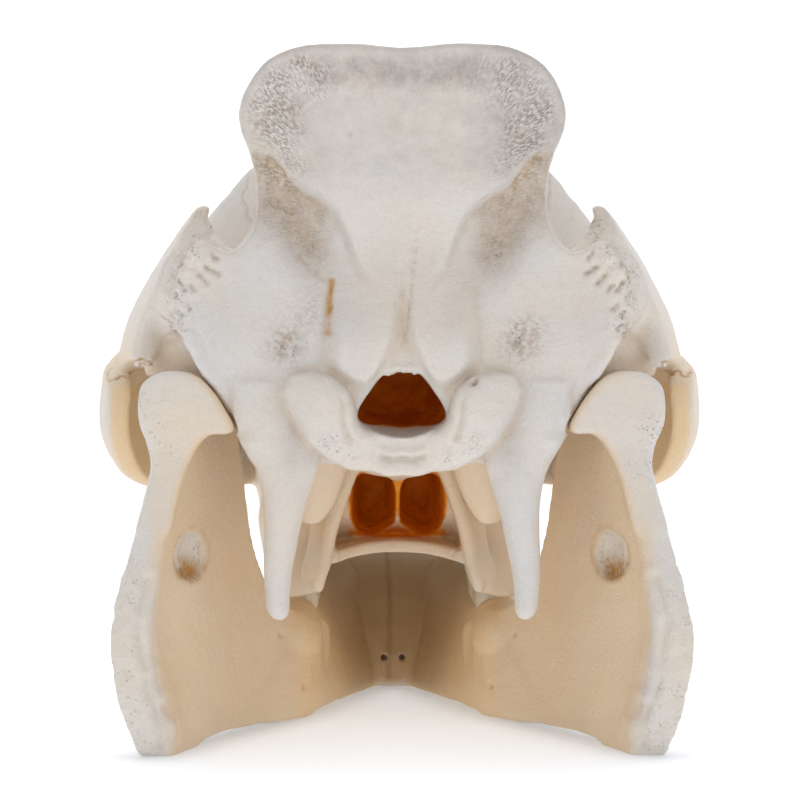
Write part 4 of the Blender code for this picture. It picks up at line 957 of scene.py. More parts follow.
def crown_body(name, x, fwd, bite, length, width, away):
    """The crown's squarish body, from near its biting face to the gum."""
    rings = []
    for share, grow in CROWN_RINGS:
        rings.append([(x + width / 2 * grow * across, fwd + length / 2 * grow * along, bite + away * share)
                      for across, along in unit_ring(20, 0.7)])
    return loft(name, rings)


def cheek_tooth(name, fwd, x, length, width, crown, upper):
    """Crown with rounded cusps in two rows, or in one row on a narrow premolar."""
    away = crown if upper else -crown
    bite = occlusion(fwd) + math.copysign(BITE_GAP / 2, away)
    pieces = [crown_body(name, x, fwd, bite, length, width, away)]
    if width > TWO_ROW_WIDTH:
        pairs = max(2, round(length / CUSP_SPACING))
        for i in range(pairs):
            middle = fwd + ((i + 0.5) / pairs - 0.5) * length * 0.96
            for side in (-1, 1):
                pieces.append(cusp(f"{name}_cusp", x + side * width * 0.24, middle, bite, 0.30 * width,
                                   0.56 * length / pairs, away))
        return pieces
    points = [(0, 1.0)] if length < ONE_CUSP_LENGTH else [(-0.32, 0.62), (0, 1.0), (0.32, 0.62)]
    for along, tall in points:
        pieces.append(cusp(f"{name}_cusp", x, fwd + along * length, bite + away * (1 - tall) * 0.6,
                           0.46 * width, 0.56 * length / len(points), away))
    return pieces


def tooth_row(name, cheek, incisors, upper):
    """The cheek teeth and incisors of one jaw, on both sides, as one fine surface."""
    pieces = [piece for row in cheek for piece in cheek_tooth(*row, upper=upper)]
    pieces += [tube(tooth, path) for tooth, path in incisors.items()]
    return fuse(name, both_sides(pieces), 2, TOOTH_VOXEL)


TEETH = {  # name: cheek teeth, incisors, whether they belong to the upper jaw
    "teeth_upper": (UPPER_CHEEK, UPPER_INCISORS, True),
    "teeth_lower": (LOWER_CHEEK, LOWER_INCISORS, False),
}
TUSKS = {  # short canines of a young animal: (x, fwd, height, radius) from the root's flat end to the tip
    "tusk_upper": [(22.5, 205.0, 58.0, 4.2), (26.0, 208.0, 54.4, 4.3), (29.6, 210.6, 51.4, 3.9),
                   (32.6, 212.4, 50.2, 3.0), (34.6, 213.0, 50.8, 1.9), (35.6, 213.0, 52.0, 0.7)],
    "tusk_lower": [(19.6, 212.0, 34.0, 3.6), (22.4, 214.6, 40.6, 3.8), (25.2, 217.4, 46.4, 3.4),
                   (27.6, 219.0, 51.0, 2.7), (29.4, 219.4, 54.6, 1.8), (30.2, 219.0, 56.6, 0.7)],
}


# Noise on arrays of points in millimetres

def hashed(cell, seed):
    """Even random numbers from 0 to 1, one for each whole-number cell."""
    number = cell[:, 0] * 73856093 ^ cell[:, 1] * 19349663 ^ cell[:, 2] * 83492791 ^ seed * 40503
    number = (number ^ (number >> 13)) * 1274126177 & 0x7FFFFFFF
    number = (number ^ (number >> 15)) * 668265263 & 0x7FFFFFFF
    return (number ^ (number >> 12)) % 65536 / 65535.0


def lumps(points, size, seed=0):
    """Smooth noise from -1 to 1, with lumps about as wide as size."""
    scaled = points / size
    cell = np.floor(scaled).astype(np.int64)
    t = scaled - cell
    t = t * t * (3 - 2 * t)
    total = 0
    for corner in itertools.product((0, 1), repeat=3):
        weight = 1
        for axis in range(3):
            weight = weight * (t[:, axis] if corner[axis] else 1 - t[:, axis])
        total = total + weight * hashed(cell + np.array(corner), seed)
    return 2 * total - 1


def pitted(points, spacing, radius, chance, seed=0):
    """Scattered round pits: 1 at the middle of each, falling to 0 at its rim."""
    cell = np.floor(points / spacing).astype(np.int64)
    deepest = np.zeros(len(points))
    for offset in itertools.product((-1, 0, 1), repeat=3):
        home = cell + np.array(offset)
        jitter = np.stack([hashed(home, seed + k) for k in (1, 2, 3)], axis=1)
        apart = np.linalg.norm(points - (home + jitter) * spacing, axis=1)
        size = radius * (0.5 + hashed(home, seed + 4))
        there = hashed(home, seed + 5) < chance
        deepest = np.maximum(deepest, there * np.clip(1 - np.square(apart / size), 0, 1))
    return deepest


def near_line(points, path):
    """Distance of each point (x, fwd, height) from a line through the path's points."""
    nearest = np.full(len(points), np.inf)
    for start, end in zip(path, path[1:]):
        start, end = np.array(start, float), np.array(end, float)
        along = np.clip((points - start) @ (end - start) / np.dot(end - start, end - start), 0, 1)
        apart = np.linalg.norm(points - start - along[:, None] * (end - start), axis=1)
        nearest = np.minimum(nearest, apart)
    return nearest


def near_path(x, height, path):
    """Distance from a line through (x, height) points, seen from behind."""
    flat = np.stack([x, np.zeros(len(x)), height], axis=1)
    return near_line(flat, [(px, 0, pz) for px, pz in path])


def round_mark(x, height, mark):
    """A soft round mark (x, height, radius)."""
    return bell(np.hypot(x - mark[0], height - mark[1]), mark[2])


def spots_of(x, height, marks):
    """Sum of soft round marks, each (x, height, radius, strength)."""
    return sum(mark[3] * round_mark(x, height, mark) for mark in marks)


# Reading and writing a mesh's vertices

def layout(obj):
    """Vertex places (x, fwd, height) in millimetres, with normals the same way round."""
    x, y, z = points_of(obj).T / MM
    normals = values_of(obj.data.vertices, "normal", 3)
    return np.stack([x, CONDYLE_Y - y, z], axis=1), normals * (1, -1, 1)


def store(obj, name, values):
    """Keeps values from 0 to 1 on the vertices, for the material to read."""
    attribute = obj.data.attributes.get(name) or obj.data.attributes.new(name, "FLOAT", "POINT")
    attribute.data.foreach_set("value", np.clip(values, 0, 1).astype(np.float32))


FLOOR_GAP = 0.02           # the lowest that a vertex may lie
CREASE_LEAST = 0.05        # depth in millimetres at which painted shade starts to show in a crease
CREASE_MOST = 0.65         # and at which it is full


def sink(obj, spots, normals, depth):
    """Moves the surface in along its normals by a depth for each vertex, and keeps it over the floor."""
    x, fwd, height = (spots - normals * depth[:, None]).T
    set_points(obj, frame_points(x, fwd, np.maximum(height, FLOOR_GAP)))


def creases(obj, rounds):
    """Painted shade in creases: how far each vertex lies below the average of its surroundings, from 0 to 1.
    """
    mesh = obj.data
    ends = values_of(mesh.edges, "vertices", 2, np.int64)
    both = np.concatenate([ends, ends[:, ::-1]])
    count = np.maximum(np.bincount(both[:, 0], minlength=len(mesh.vertices)), 1)
    start = points_of(obj) / MM
    smooth = start
    for _ in range(rounds):
        sums = [np.bincount(both[:, 0], smooth[both[:, 1], axis], len(start)) for axis in range(3)]
        smooth = np.stack(sums, axis=1) / count[:, None]
    below = ((smooth - start) * values_of(mesh.vertices, "normal", 3)).sum(axis=1)
    return ramp(below, CREASE_LEAST, CREASE_MOST)


def inward(x, normals):
    """How much each vertex's surface faces the middle plane, from -1 to 1."""
    return -normals[:, 0] * np.sign(x)


# Marks on the rear face, as seen from behind: (x, height), and for a spot its radius and strength

CREST_RIM = NUCHAL_HALF[:18]   # the part of the plate's outline that the streaked crest follows
CREST_PITS = [  # pitted patches on the crest's corners
    (34.6, 160.5, 3.6, 1.0), (28.4, 161.0, 3.2, 0.9), (33.0, 171.0, 2.6, 0.5), (24.6, 174.6, 3.4, 0.6),
    (21.0, 170.5, 2.6, 0.5), (30.0, 166.0, 3.0, 0.3),
    (-31.0, 156.5, 3.4, 1.0), (-34.0, 162.5, 3.2, 0.7), (-27.5, 171.0, 3.0, 0.5), (-26.0, 160.5, 2.6, 0.4),
]
DIMPLES = [  # beside the foramen magnum
    (29.6, 104.0, 4.4, 1.0), (24.0, 111.5, 5.5, 0.4), (-29.6, 104.5, 4.8, 0.9), (-33.0, 109.0, 4.0, 0.4),
]
CONDYLE_PITS = [(19.0, 79.6, 3.0, 0.7), (15.2, 78.6, 3.0, 1.0), (11.6, 75.6, 2.4, 0.8)]
KNOBS = [(38.2, 79.6, 1.7, 1.0), (54.6, 122.5, 1.6, 0.8), (52.0, 126.5, 1.6, 0.7), (20.0, 97.4, 1.0, 0.5)]
NODULES = [(-3.4, 97.5), (-1.9, 98.3), (-0.4, 97.9), (1.1, 98.5), (2.5, 97.8), (3.8, 97.0)]
NODULE_RADIUS = 0.85
SPECKS = [(13.2, 156.8, 0.7), (-17.7, 95.2, 0.9), (-24.0, 127.0, 0.5)]
SMALL_HOLE = (-17.7, 95.2, 1.0)
SEAM_STAIN = [(18.0, 120.4), (18.8, 115.4), (18.3, 111.6), (18.9, 107.2)]
CREST_LINES = [
    [(25.8, 126.2), (22.8, 123.0), (19.6, 120.6)],
    [(-3.6, 130.4), (-2.6, 122.4), (-1.4, 112.6), (-0.4, 104.4)],
]
CONDYLE_GROOVE = [(14.8, 90.0), (14.6, 85.0), (13.2, 80.4)]
BASE_GROOVE = [(5.2, 76.0), (2.6, 75.2), (0.0, 75.6), (-2.6, 75.1), (-5.2, 76.0)]

# Jagged edge between the rear plate and the temporal bone, with the diagonal slits along it
RAGGED_EDGE = [(50.4, 133), (54.6, 127.6), (57.0, 121.5), (57.4, 114.5), (56.2, 108.0)]
EDGE_BELOW = [(56.2, 108.0), (53.0, 101.0), (50.0, 96.0), (46.6, 90.0), (41.4, 80.0), (36.6, 72.6)]
INNER_EDGE = [(x - 4.2, height) for x, height in EDGE_BELOW]
EDGE_SLITS = [  # both ends
    [(56.8, 120.4), (54.8, 117.8)], [(57.4, 112.6), (56.0, 111.6)], [(57.0, 109.6), (55.2, 108.2)],
    [(56.2, 124.6), (55.2, 123.6)], [(49.8, 124.0), (46.8, 122.0)], [(51.6, 122.0), (49.6, 119.8)],
    [(58.0, 117.4), (57.4, 116.6)], [(48.4, 127.4), (47.2, 126.0)], [(55.0, 114.4), (54.0, 113.2)],
    [(53.6, 119.0), (52.6, 118.0)],
]
SLIT_RADIUS = 0.55
FLOW_CENTRE = 138.0        # height of the point that the crest's fine streaks spread from
FLOW_RADIUS = 34.0         # distance from it at which they keep their true width
FLOW_SPAN = 250.0          # reach of the streaks' coordinates, which are stored as 0 to 1
SEAM_DEPTH = 0.35


# Surface detail of the cranium: functions named depth say how far it sinks, and add their masks to marks

def streamlines(spots):
    """Places stretched out along lines from the middle of the crest, for marks drawn out that way."""
    x, fwd, height = spots.T
    angle = np.arctan2(x, height - FLOW_CENTRE)
    out = np.hypot(x, height - FLOW_CENTRE)
    return np.stack([angle * FLOW_RADIUS, fwd * 0.4, out * 0.38], axis=1)


def crest_depth(spots, marks):
    """Streaks that spread over the crest, its pitted patches, and the stippled sides of the V under it."""
    x, _, height = spots.T
    side = np.abs(x)
    wobble = np.stack([lumps(spots, 2.4, 90 + k) for k in range(3)], axis=1)
    drawn = streamlines(spots) + 0.4 * wobble
    rim = near_path(side, height, CREST_RIM)
    band = marks.rear * ramp(rim, 1.0, 4.0) * (1 - ramp(rim, 10, 19))
    below = follow(side, CREST_V) - height
    marks.crest = band * ramp(height, 141, 150) * (0.3 + 0.7 * ramp(side, 14, 27))
    marks.patch = np.clip(spots_of(x, height, CREST_PITS), 0, 1) * marks.rear
    marks.below_v = below
    marks.hollow = marks.rear * ramp(below, 0, 3) * (1 - ramp(below, 12, 27)) * ramp(side, 15, 24)
    marks.ledge = marks.rear * bell(below, 2.6) * ramp(side, 12, 20)
    depth = 0.75 * band * ramp(height, 143, 152) * ramp(side, 20, 29)
    depth += marks.crest * (0.12 * lumps(drawn, 1.3, 12) + 0.06 * lumps(drawn, 0.8, 13))
    depth += marks.patch * (0.18 * pitted(drawn, 1.2, 0.7, 0.5, 10) + 0.12 * lumps(drawn, 0.9, 11))
    depth += marks.hollow * (0.16 * lumps(drawn, 1.6, 14) + 0.18 * pitted(spots, 1.8, 0.9, 0.4, 15))
    depth += marks.ledge * (0.35 * lumps(spots, 3.4, 16) + 0.18 * lumps(spots, 1.6, 17))
    return depth


def edge_depth(spots, marks):
    """The ragged edge of the temporal bone with its slits, and the ridge that runs down from it."""
    x, fwd, height = spots.T
    side = np.abs(x)
    marks.ragged = marks.rear * bell(near_path(side, height, RAGGED_EDGE), 3.4)
    wavy = side + 0.5 * lumps(spots, 2.2, 31)
    slits = np.maximum.reduce([bell(near_path(wavy, height, ends), SLIT_RADIUS) for ends in EDGE_SLITS])
    marks.slits = slits * (1 - ramp(fwd, 24, 30)) * (0.6 + 0.4 * lumps(spots, 1.8, 32))
    ridge = marks.rear * bell(near_path(side, height, EDGE_BELOW), 1.4)
    beside = marks.rear * bell(near_path(side, height, INNER_EDGE), 1.1)
    crumbs = 0.45 * pitted(spots, 1.6, 0.9, 0.5, 20) - 0.85 * pitted(spots, 1.9, 1.2, 0.6, 30)
    depth = marks.ragged * crumbs + 1.5 * marks.slits
    depth -= 0.55 * ridge * (0.7 + 0.7 * lumps(spots, 2.6, 22))
    return depth + 0.35 * beside * (0.5 + 0.5 * lumps(spots, 6, 23))


def condyle_depth(spots, marks):
    """Dimples beside the foramen magnum, and the pits and the groove of the condyles under it."""
    x, _, height = spots.T
    side = np.abs(x)
    marks.dimple = np.clip(spots_of(x, height, DIMPLES), 0, 1) * marks.rear
    marks.under = np.clip(spots_of(side, height, CONDYLE_PITS), 0, 1) * marks.rear
    groove = bell(near_path(side, height, CONDYLE_GROOVE), 0.8)
    ridge = bell(near_path(side - 1.8, height, CONDYLE_GROOVE), 1.0)
    depth = marks.dimple * (0.30 * pitted(spots, 1.3, 0.75, 0.6, 40) + 0.12 * lumps(spots, 1.4, 41))
    depth += marks.under * (0.40 * pitted(spots, 1.5, 0.9, 0.65, 50) + 0.15 * lumps(spots, 1.5, 51))
    return depth + marks.rear * (0.9 * groove - 0.45 * ridge)


def base_depth(spots, normals, marks):
    """Folds under the foramen magnum, the ledges beside it and the raised floor of its canal."""
    x, fwd, height = spots.T
    side = np.abs(x)
    fold = near_path(x, height, BASE_GROOVE)
    lip = near_path(x, height - 1.5, BASE_GROOVE)
    level = bell(height - 95.9, 1.5) * bell(side - 36, 6.5)
    swellings = bell(np.hypot((side - 3.2) / 3.0, (height - 72.6) / 1.7), 1)
    canal = ramp(normals[:, 2], 0.3, 0.7) * (1 - ramp(side, 4, 11)) * (1 - ramp(height, 86, 88))
    marks.lips = bell(fold, 3.4)
    # painted shade in the valley between each condyle and its process
    marks.valley = marks.rear * bell(np.hypot((side - 27.5) / 3.6, (height - 80) / 9), 1)
    marks.canal_floor = canal
    depth = 1.5 * bell(fold, 0.65) - 0.8 * bell(lip, 0.8) - 0.6 * level - 1.1 * swellings
    raised = canal * ramp(fwd, 12, 26) * (1 - ramp(fwd, 40, 50)) * ramp(height, 76, 78)
    return marks.rear * depth - 2.1 * raised


def small_depth(spots, marks):
    """Nodules over the foramen magnum, knobs, the brown seam, fine lines, specks and one small hole."""
    x, fwd, height = spots.T
    seam = bell(near_path(x + 0.5 * lumps(spots, 2.6, 33), height, SEAM_STAIN), 0.75)
    marks.seam = seam * marks.rear * (0.65 + 0.5 * lumps(spots, 3.0, 34))
    marks.lines = sum(bell(near_path(x, height, path), 0.6) for path in CREST_LINES) * marks.rear
    marks.specks = sum(round_mark(x, height, speck) for speck in SPECKS) * marks.rear
    marks.hole = marks.rear * round_mark(x, height, SMALL_HOLE)
    nodules = sum(round_mark(x, height, (*nodule, NODULE_RADIUS)) for nodule in NODULES)
    on_rim = (1 - ramp(fwd, 13, 18)) * ramp(height, 95.5, 96.5)
    knobs = np.clip(spots_of(np.abs(x), height, KNOBS), 0, 1) * marks.rear
    depth = 0.35 * marks.seam + 0.3 * marks.lines + 0.5 * marks.specks + 2.6 * marks.hole
    return depth - 1.15 * nodules * on_rim - 0.9 * knobs


def cranium_detail(obj):
    """Carves the cranium's surface and stores its stains and painted shade."""
    spots, normals = layout(obj)
    rear = ramp(-normals[:, 1], 0.05, 0.4) * (1 - ramp(spots[:, 1], 24, 32))
    marks = SimpleNamespace(rear=rear)
    depth = 0.13 * lumps(spots, 9, 1) + 0.08 * lumps(spots, 4, 2) + 0.05 * lumps(spots, 2.0, 3)
    depth += crest_depth(spots, marks) + edge_depth(spots, marks) + condyle_depth(spots, marks)
    depth += base_depth(spots, normals, marks) + small_depth(spots, marks)
    sink(obj, spots, normals, depth)
    store_marks(obj, spots, marks)
    store(obj, "deep", cranium_deep(spots, normals))
    store(obj, "lit", np.maximum(passages(spots, normals), 0.31 * brain_hollow(spots)))
    # painted shade in the creases, both grey and tan, where shade falls
    painted_crease_shade = cranium_crease_shade(obj, spots, marks)
    store(obj, "grey", cranium_grey(spots, normals, marks) + 0.24 * painted_crease_shade)
    # the hollow under the crest is also warmed, as tan painted shade
    store(obj, "warm", cranium_warmth(spots, normals) + 0.20 * marks.hollow + 0.22 * painted_crease_shade)


def store_marks(obj, spots, marks):
    """Stores the crest's flow coordinates, and how much each mark is streaked, porous, brown or a seam."""
    flow = streamlines(spots)
    store(obj, "flow_across", flow[:, 0] / FLOW_SPAN + 0.5)
    store(obj, "flow_along", flow[:, 2] / FLOW_SPAN)
    high_hollow = marks.hollow * ramp(spots[:, 2], 120, 130)
    store(obj, "streaky", 0.8 * marks.crest + 0.5 * marks.patch + 0.3 * high_hollow)
    pores = 0.05 * marks.crest + 0.25 * marks.patch + 0.5 * marks.ragged + 0.6 * marks.dimple
    store(obj, "pores", pores + 0.45 * marks.under + 0.3 * marks.hollow)
    brown = 0.45 * marks.patch + 0.75 * marks.slits + 0.70 * marks.dimple + 0.2 * marks.under
    brown += 0.5 * marks.specks + 0.15 * marks.hollow + 0.35 * marks.lines + marks.hole
    store(obj, "brown", brown)
    store(obj, "seam", 1.6 * marks.seam)


def cranium_crease_shade(obj, spots, marks):
    """Painted shade in the creases, but not on the lips and ledges beside the condyles."""
    side, height = np.abs(spots[:, 0]), spots[:, 2]
    level = bell(np.hypot((side - 36) / 7, (height - 95.7) / 3), 1)
    return creases(obj, 18) * (1 - marks.lips) * (1 - level)


def cranium_grey(spots, normals, marks):
    """Grey: a tone over the crest, and painted shade on the sides of the V under it, beside the condyles and
    inside the arches.
    """
    x, fwd, height = spots.T
    side = np.abs(x)
    top = ramp(height, 166, 171) * (1 - ramp(height, 173, 177)) * (1 - ramp(side, 14, 26))
    middle = 1 - ramp(side, 14, 24)
    high = ramp(height, 138, 152) * (0.36 - 0.08 * middle + 0.14 * ramp(-x, 8, 30) + 0.40 * top)
    # painted shade in the hollow and along the ledge under the crest
    shade_under_crest = 0.62 * marks.hollow + 0.15 * marks.ledge
    plate = 0.10 * ramp(height, 90, 130) * (0.6 + 0.6 * lumps(spots, 14, 60))
    # painted shade, grey, on the inner faces of the arches
    cheek = 0.5 * ramp(side, 60, 64) * ramp(inward(x, normals), -0.3, 0.4) * ramp(fwd, 20, 30)
    # painted shade along the outer side of the V's edge
    shade_beside_v = 0.22 * marks.rear * bell(marks.below_v - 3.5, 3.0) * ramp(height, 112, 124)
    grey = np.maximum.reduce([marks.rear * (np.maximum(high, shade_under_crest) + plate), cheek, shade_beside_v])
    # the valley term is painted shade; the dimples, pits and canal floor keep their own grey
    return grey + 0.30 * marks.valley + 0.22 * marks.dimple + 0.06 * marks.patch + 0.40 * marks.canal_floor


def cranium_warmth(spots, normals):
    """Tan: a stain on the base and in hollows, and painted shade on the arches' inner faces."""
    x, fwd, height = spots.T
    side = np.abs(x)
    facing = inward(x, normals)
    under = ramp(fwd, 14, 30) * (1 - ramp(height, 66, 96)) * (1 - ramp(fwd, 90, 130))
    inner = ramp(side, 40, 56) * ramp(facing, -0.1, 0.5) * ramp(fwd, 24, 34)
    socket = ramp(side, 44, 52) * ramp(fwd, 20, 26) * bell(height - 98, 9)
    # tan painted shade on the arches' inner faces, low down
    zygoma = ramp(side, 60, 64) * ramp(facing, -0.7, 0.1) * (1 - ramp(height, 92, 98))
    mouth = ramp(fwd, 60, 76) * (1 - ramp(height, 46, 54)) * (1 - ramp(side, 18, 24))
    hook = bell(side - 21.5, 4.5) * bell(fwd - 74, 7) * (1 - ramp(height, 46, 52))
    warm = np.maximum.reduce([0.6 * under, 0.75 * inner, 0.4 * socket, 0.95 * zygoma, 0.5 * mouth])
    return warm * (1 - 0.7 * hook)


# Dark amber inside the skull's openings

PASSAGE_X = 7.2            # middle of each air passage
PASSAGE_MIDDLE = [(58, 59.6), (90, 60.4), (112, 62.0), (124, 63.0)]   # fwd, height
NOSTRIL_HEIGHT = 72.0


def towards_middle(across, up, normals, sign=1.0):
    """How much each vertex's surface faces a passage's middle line, from -1 to 1."""
    facing = -(normals[:, 0] * sign * across + normals[:, 2] * up)
    return facing / np.maximum(np.hypot(across, up), 1)


def brain_hollow(spots):
    x, fwd, height = spots.T
    within = 1 - ramp(np.hypot(x / 20, (height - 94) / 18), 0.9, 1.1)
    return ramp(fwd, 21, 25) * within * (1 - ramp(fwd, 60, 66))


def brain_lip(spots, normals):
    """The way in to the brain's hollow, without its floor."""
    x, fwd, height = spots.T
    within = 1 - ramp(np.hypot(x / 12.5, (height - 90) / 11), 0.9, 1.2)
    floor = ramp(normals[:, 2], 0.3, 0.7) * (1 - ramp(fwd, 20, 26))
    return within * ramp(fwd, 14, 20) * (1 - floor)


def passages(spots, normals):
    """The two air passages over the palate."""
    x, fwd, height = spots.T
    side = np.abs(x)
    up = height - follow(fwd, PASSAGE_MIDDLE)
    facing = towards_middle(side - PASSAGE_X, up, normals, np.sign(x))
    within = (1 - ramp(side, 13.3, 13.8)) * (1 - ramp(np.abs(up), 9.5, 10.0)) * (1 - ramp(fwd, 126, 132))
    floor = ramp(normals[:, 2], 0.2, 0.6) * (1 - ramp(height, 56, 58)) * (1 - ramp(fwd, 82, 88))
    walls = np.maximum(ramp(facing, 0.0, 0.3) * ramp(fwd, 74, 77), ramp(fwd, 84, 90))
    return within * walls * (1 - floor)


def nose_hollow(spots, normals):
    """The front of the nose, behind the nostrils."""
    x, fwd, height = spots.T
    facing = towards_middle(x, height - NOSTRIL_HEIGHT, normals)
    along = ramp(fwd, 176, 180) * (1 - ramp(fwd, 205, 222))
    within = (1 - ramp(np.abs(x), 11, 13)) * (1 - ramp(np.abs(height - 74), 7, 9))
    return along * within * ramp(facing, 0.1, 0.4)


def cranium_deep(spots, normals):
    hollows = [0.8 * brain_lip(spots, normals), brain_hollow(spots), passages(spots, normals)]
    return np.maximum.reduce([*hollows, 0.8 * nose_hollow(spots, normals)])


# Surface detail of the lower jaw

RIM_EDGE = [  # x, height
    (64.4, 45), (66.4, 38), (66.6, 33), (65.6, 26.4), (63.6, 16.6), (61.6, 12.4), (60.2, 6.6), (61.0, 2),
]
RIM_INNER = [(2, 60), (16, 62.5), (38, 66), (50, 65)]        # height, x of the thick rim's inner side
RIM_KNOBS = [(64.6, 22.0, 1.8, 0.8), (62.0, 15.0, 1.7, 1.0), (59.6, 8.0, 2.0, 1.0), (66.0, 35.5, 1.6, 0.5)]
JAW_HOLES = [(75, 24.6, 0.7), (80, 10, 0.8)]                 # fwd, height, radius
CANAL = (53.4, 27.0, 49.6)                                   # x, fwd, height of the nerve's opening
CANAL_RADII = (3.0, 2.4, 1.9)


def rim_depth(spots, marks):
    """The thick, knobbly rim at the jaw's corner, and the fine pits under its head."""
    x, fwd, height = spots.T
    side = np.abs(x)
    rear = 1 - ramp(fwd, 16, 24)
    corner = rear * (1 - ramp(height, 44, 56))
    edge = near_path(side + 0.7 * lumps(spots, 4.5, 5), height, RIM_EDGE)
    folded = np.stack([side, fwd, height], axis=1)
    marks.rim = corner * ramp(side - follow(height, RIM_INNER), 0, 2)
    marks.head = bell(near_line(folded, [(64, 14, 88), (62, 12, 74)]), 6)
    depth = corner * (0.9 * bell(edge, 1.1) - 0.6 * bell(edge - 2.6, 1.8))
    depth -= 1.1 * rear * np.clip(spots_of(side, height, RIM_KNOBS), 0, 1)
    depth += marks.rim * (0.35 * lumps(spots, 3.2, 6) + 0.3 * pitted(spots, 1.9, 1.0, 0.35, 7))
    return depth + 0.25 * marks.head * pitted(spots, 1.4, 0.8, 0.45, 8)


def canal_depth(spots, marks):
    """The opening for the jaw's nerve, with a rough hollow under it and a brim round it."""
    folded = np.stack([np.abs(spots[:, 0]), spots[:, 1], spots[:, 2]], axis=1)
    apart = folded - np.array(CANAL)
    rings = np.linalg.norm(apart / np.array(CANAL_RADII), axis=1)
    marks.pit = (1 - ramp(rings, 2.6, 3.7)) * marks.inner
    marks.low_pit = marks.pit * (1 - ramp(apart[:, 2], -5, 1))
    marks.low_front = marks.low_pit * ramp(apart[:, 0], -3, 1)
    marks.brim = bell(rings - 3.6, 0.45) * marks.inner
    depth = marks.pit * (1.5 + 0.4 * lumps(spots, 2.0, 13))
    return depth + 0.8 * marks.low_pit * pitted(spots, 1.8, 1.1, 0.6, 9)


def mandible_detail(obj):
    """Carves the lower jaw's surface and stores its stains and painted shade."""
    spots, normals = layout(obj)
    x, fwd, height = spots.T
    marks = SimpleNamespace(inner=ramp(inward(x, normals), -0.2, 0.6))
    streaks = np.stack([x, fwd * 0.5 + height * 0.3, height * 0.8], axis=1)
    chin_line = bell(x - 1.0 - 0.5 * lumps(spots, 6, 12), 0.8) * ramp(fwd, 130, 150) * ramp(height, 1, 4)
    depth = 0.15 * lumps(spots, 9, 1) + 0.10 * lumps(streaks, 4, 2) + 0.05 * lumps(spots, 2.0, 3)
    depth += rim_depth(spots, marks) + canal_depth(spots, marks) + 0.4 * chin_line
    depth += 1.2 * marks.inner * sum(round_mark(fwd, height, hole) for hole in JAW_HOLES)
    sink(obj, spots, normals, depth)
    inner_stain = marks.inner * (1 - 0.85 * marks.rim) * ramp(fwd, 5, 12)
    bulge, symphysis = jaw_inside(spots, normals)
    front = ramp(fwd, 60, 150)
    warm = np.maximum.reduce([inner_stain * (0.6 + 0.4 * front), 0.8 * bulge, symphysis])
    far = ramp(fwd, 50, 90) * (1 - ramp(fwd, 100, 125))
    store(obj, "pores", 0.3 * marks.rim + 0.35 * marks.head + 0.35 * marks.pit)
    store(obj, "brown", 0.25 * marks.low_pit)
    store(obj, "seam", 1.3 * marks.low_front + 0.4 * marks.brim)
    store(obj, "warm", warm * (1 - 0.7 * marks.pit) + 0.18 * front + 0.06 * lumps(spots, 20, 8) + 0.08)
    # painted shade in brown on the symphysis's inner faces and in the groove along the chin's middle
    store(obj, "shade", 0.30 * symphysis + 0.3 * chin_line)
    # painted shade in the creases, with a grey tone on the inner faces further forward
    store(obj, "grey", 0.16 * np.maximum(inner_stain, bulge) * far + 0.2 * creases(obj, 14))


def jaw_inside(spots, normals):
    """Inner and upper faces of the swelling behind the molars and of the symphysis."""
    x, fwd, height = spots.T
    side = np.abs(x)
    outward, forward = -inward(x, normals), normals[:, 1]
    turned = 1 - ramp(forward, 0.0, 0.3)
    bulge = ramp(fwd, 70, 80) * (1 - ramp(fwd, 110, 130)) * (1 - ramp(side, 36, 42))
    bulge = bulge * (1 - ramp(height, 34, 38)) * (1 - ramp(outward, -0.1, 0.35)) * turned
    symphysis = ramp(fwd, 112, 158) * (1 - ramp(side, 18, 22)) * (1 - ramp(height, 34, 40))
    symphysis = symphysis * ramp(height, 0.2, 3) * (1 - ramp(outward, 0.1, 0.5)) * turned
    return bulge, symphysis


# One piece for each bone

PARTS = [  # name, outline, from x, to x, on both sides
    ("occipital", [(-30, 20), (20.5, 20), (20.5, 150), (14, 163), (4, 174), (0, 195), (-30, 195)],
     -75, 75, False),
    ("zygomatic", [(20, 55), (20, 93), (31, 95.5), (40, 98.6), (58, 101.6), (68, 104.6), (70, 125),
                   (98, 125), (118, 104), (138, 100), (138, 55)], 44, 95, True),
    ("temporal", [(18, 80), (18, 146), (34, 146), (74, 114), (74, 94), (45, 84)], 34, 95, True),
    ("nasal", [(130, 107), (150, 99), (180, 89.2), (207, 82.6), (212, 75), (255, 75), (255, 100),
               (130, 125)], -13.6, 13.6, False),
    ("premaxilla", [(218, 35), (216, 60), (196, 80.5), (196, 105), (275, 105), (275, 35)], -45, 45, False),
    ("sphenoid", [(15, 15), (77, 15), (77, 86), (15, 86)], -60, 60, False),
    ("maxilla", [(70, 15), (70, 86), (106, 86), (132, 112), (132, 125), (260, 125), (260, 15)],
     -60, 60, False),
    ("parietal", [(-5, 80), (60, 80), (60, 200), (-5, 200)], -60, 60, False),
]
WANDER = 1.1               # how far the line between two bones wanders


def inside(outline, across, up):
    """True for each point that lies within a closed outline."""
    found = np.zeros(len(across), bool)
    for (x0, y0), (x1, y1) in zip(outline, outline[1:] + outline[:1]):
        if y0 == y1:
            continue
        crossing = (y0 > up) != (y1 > up)
        found ^= crossing & (across < (x1 - x0) * (up - y0) / (y1 - y0) + x0)
    return found


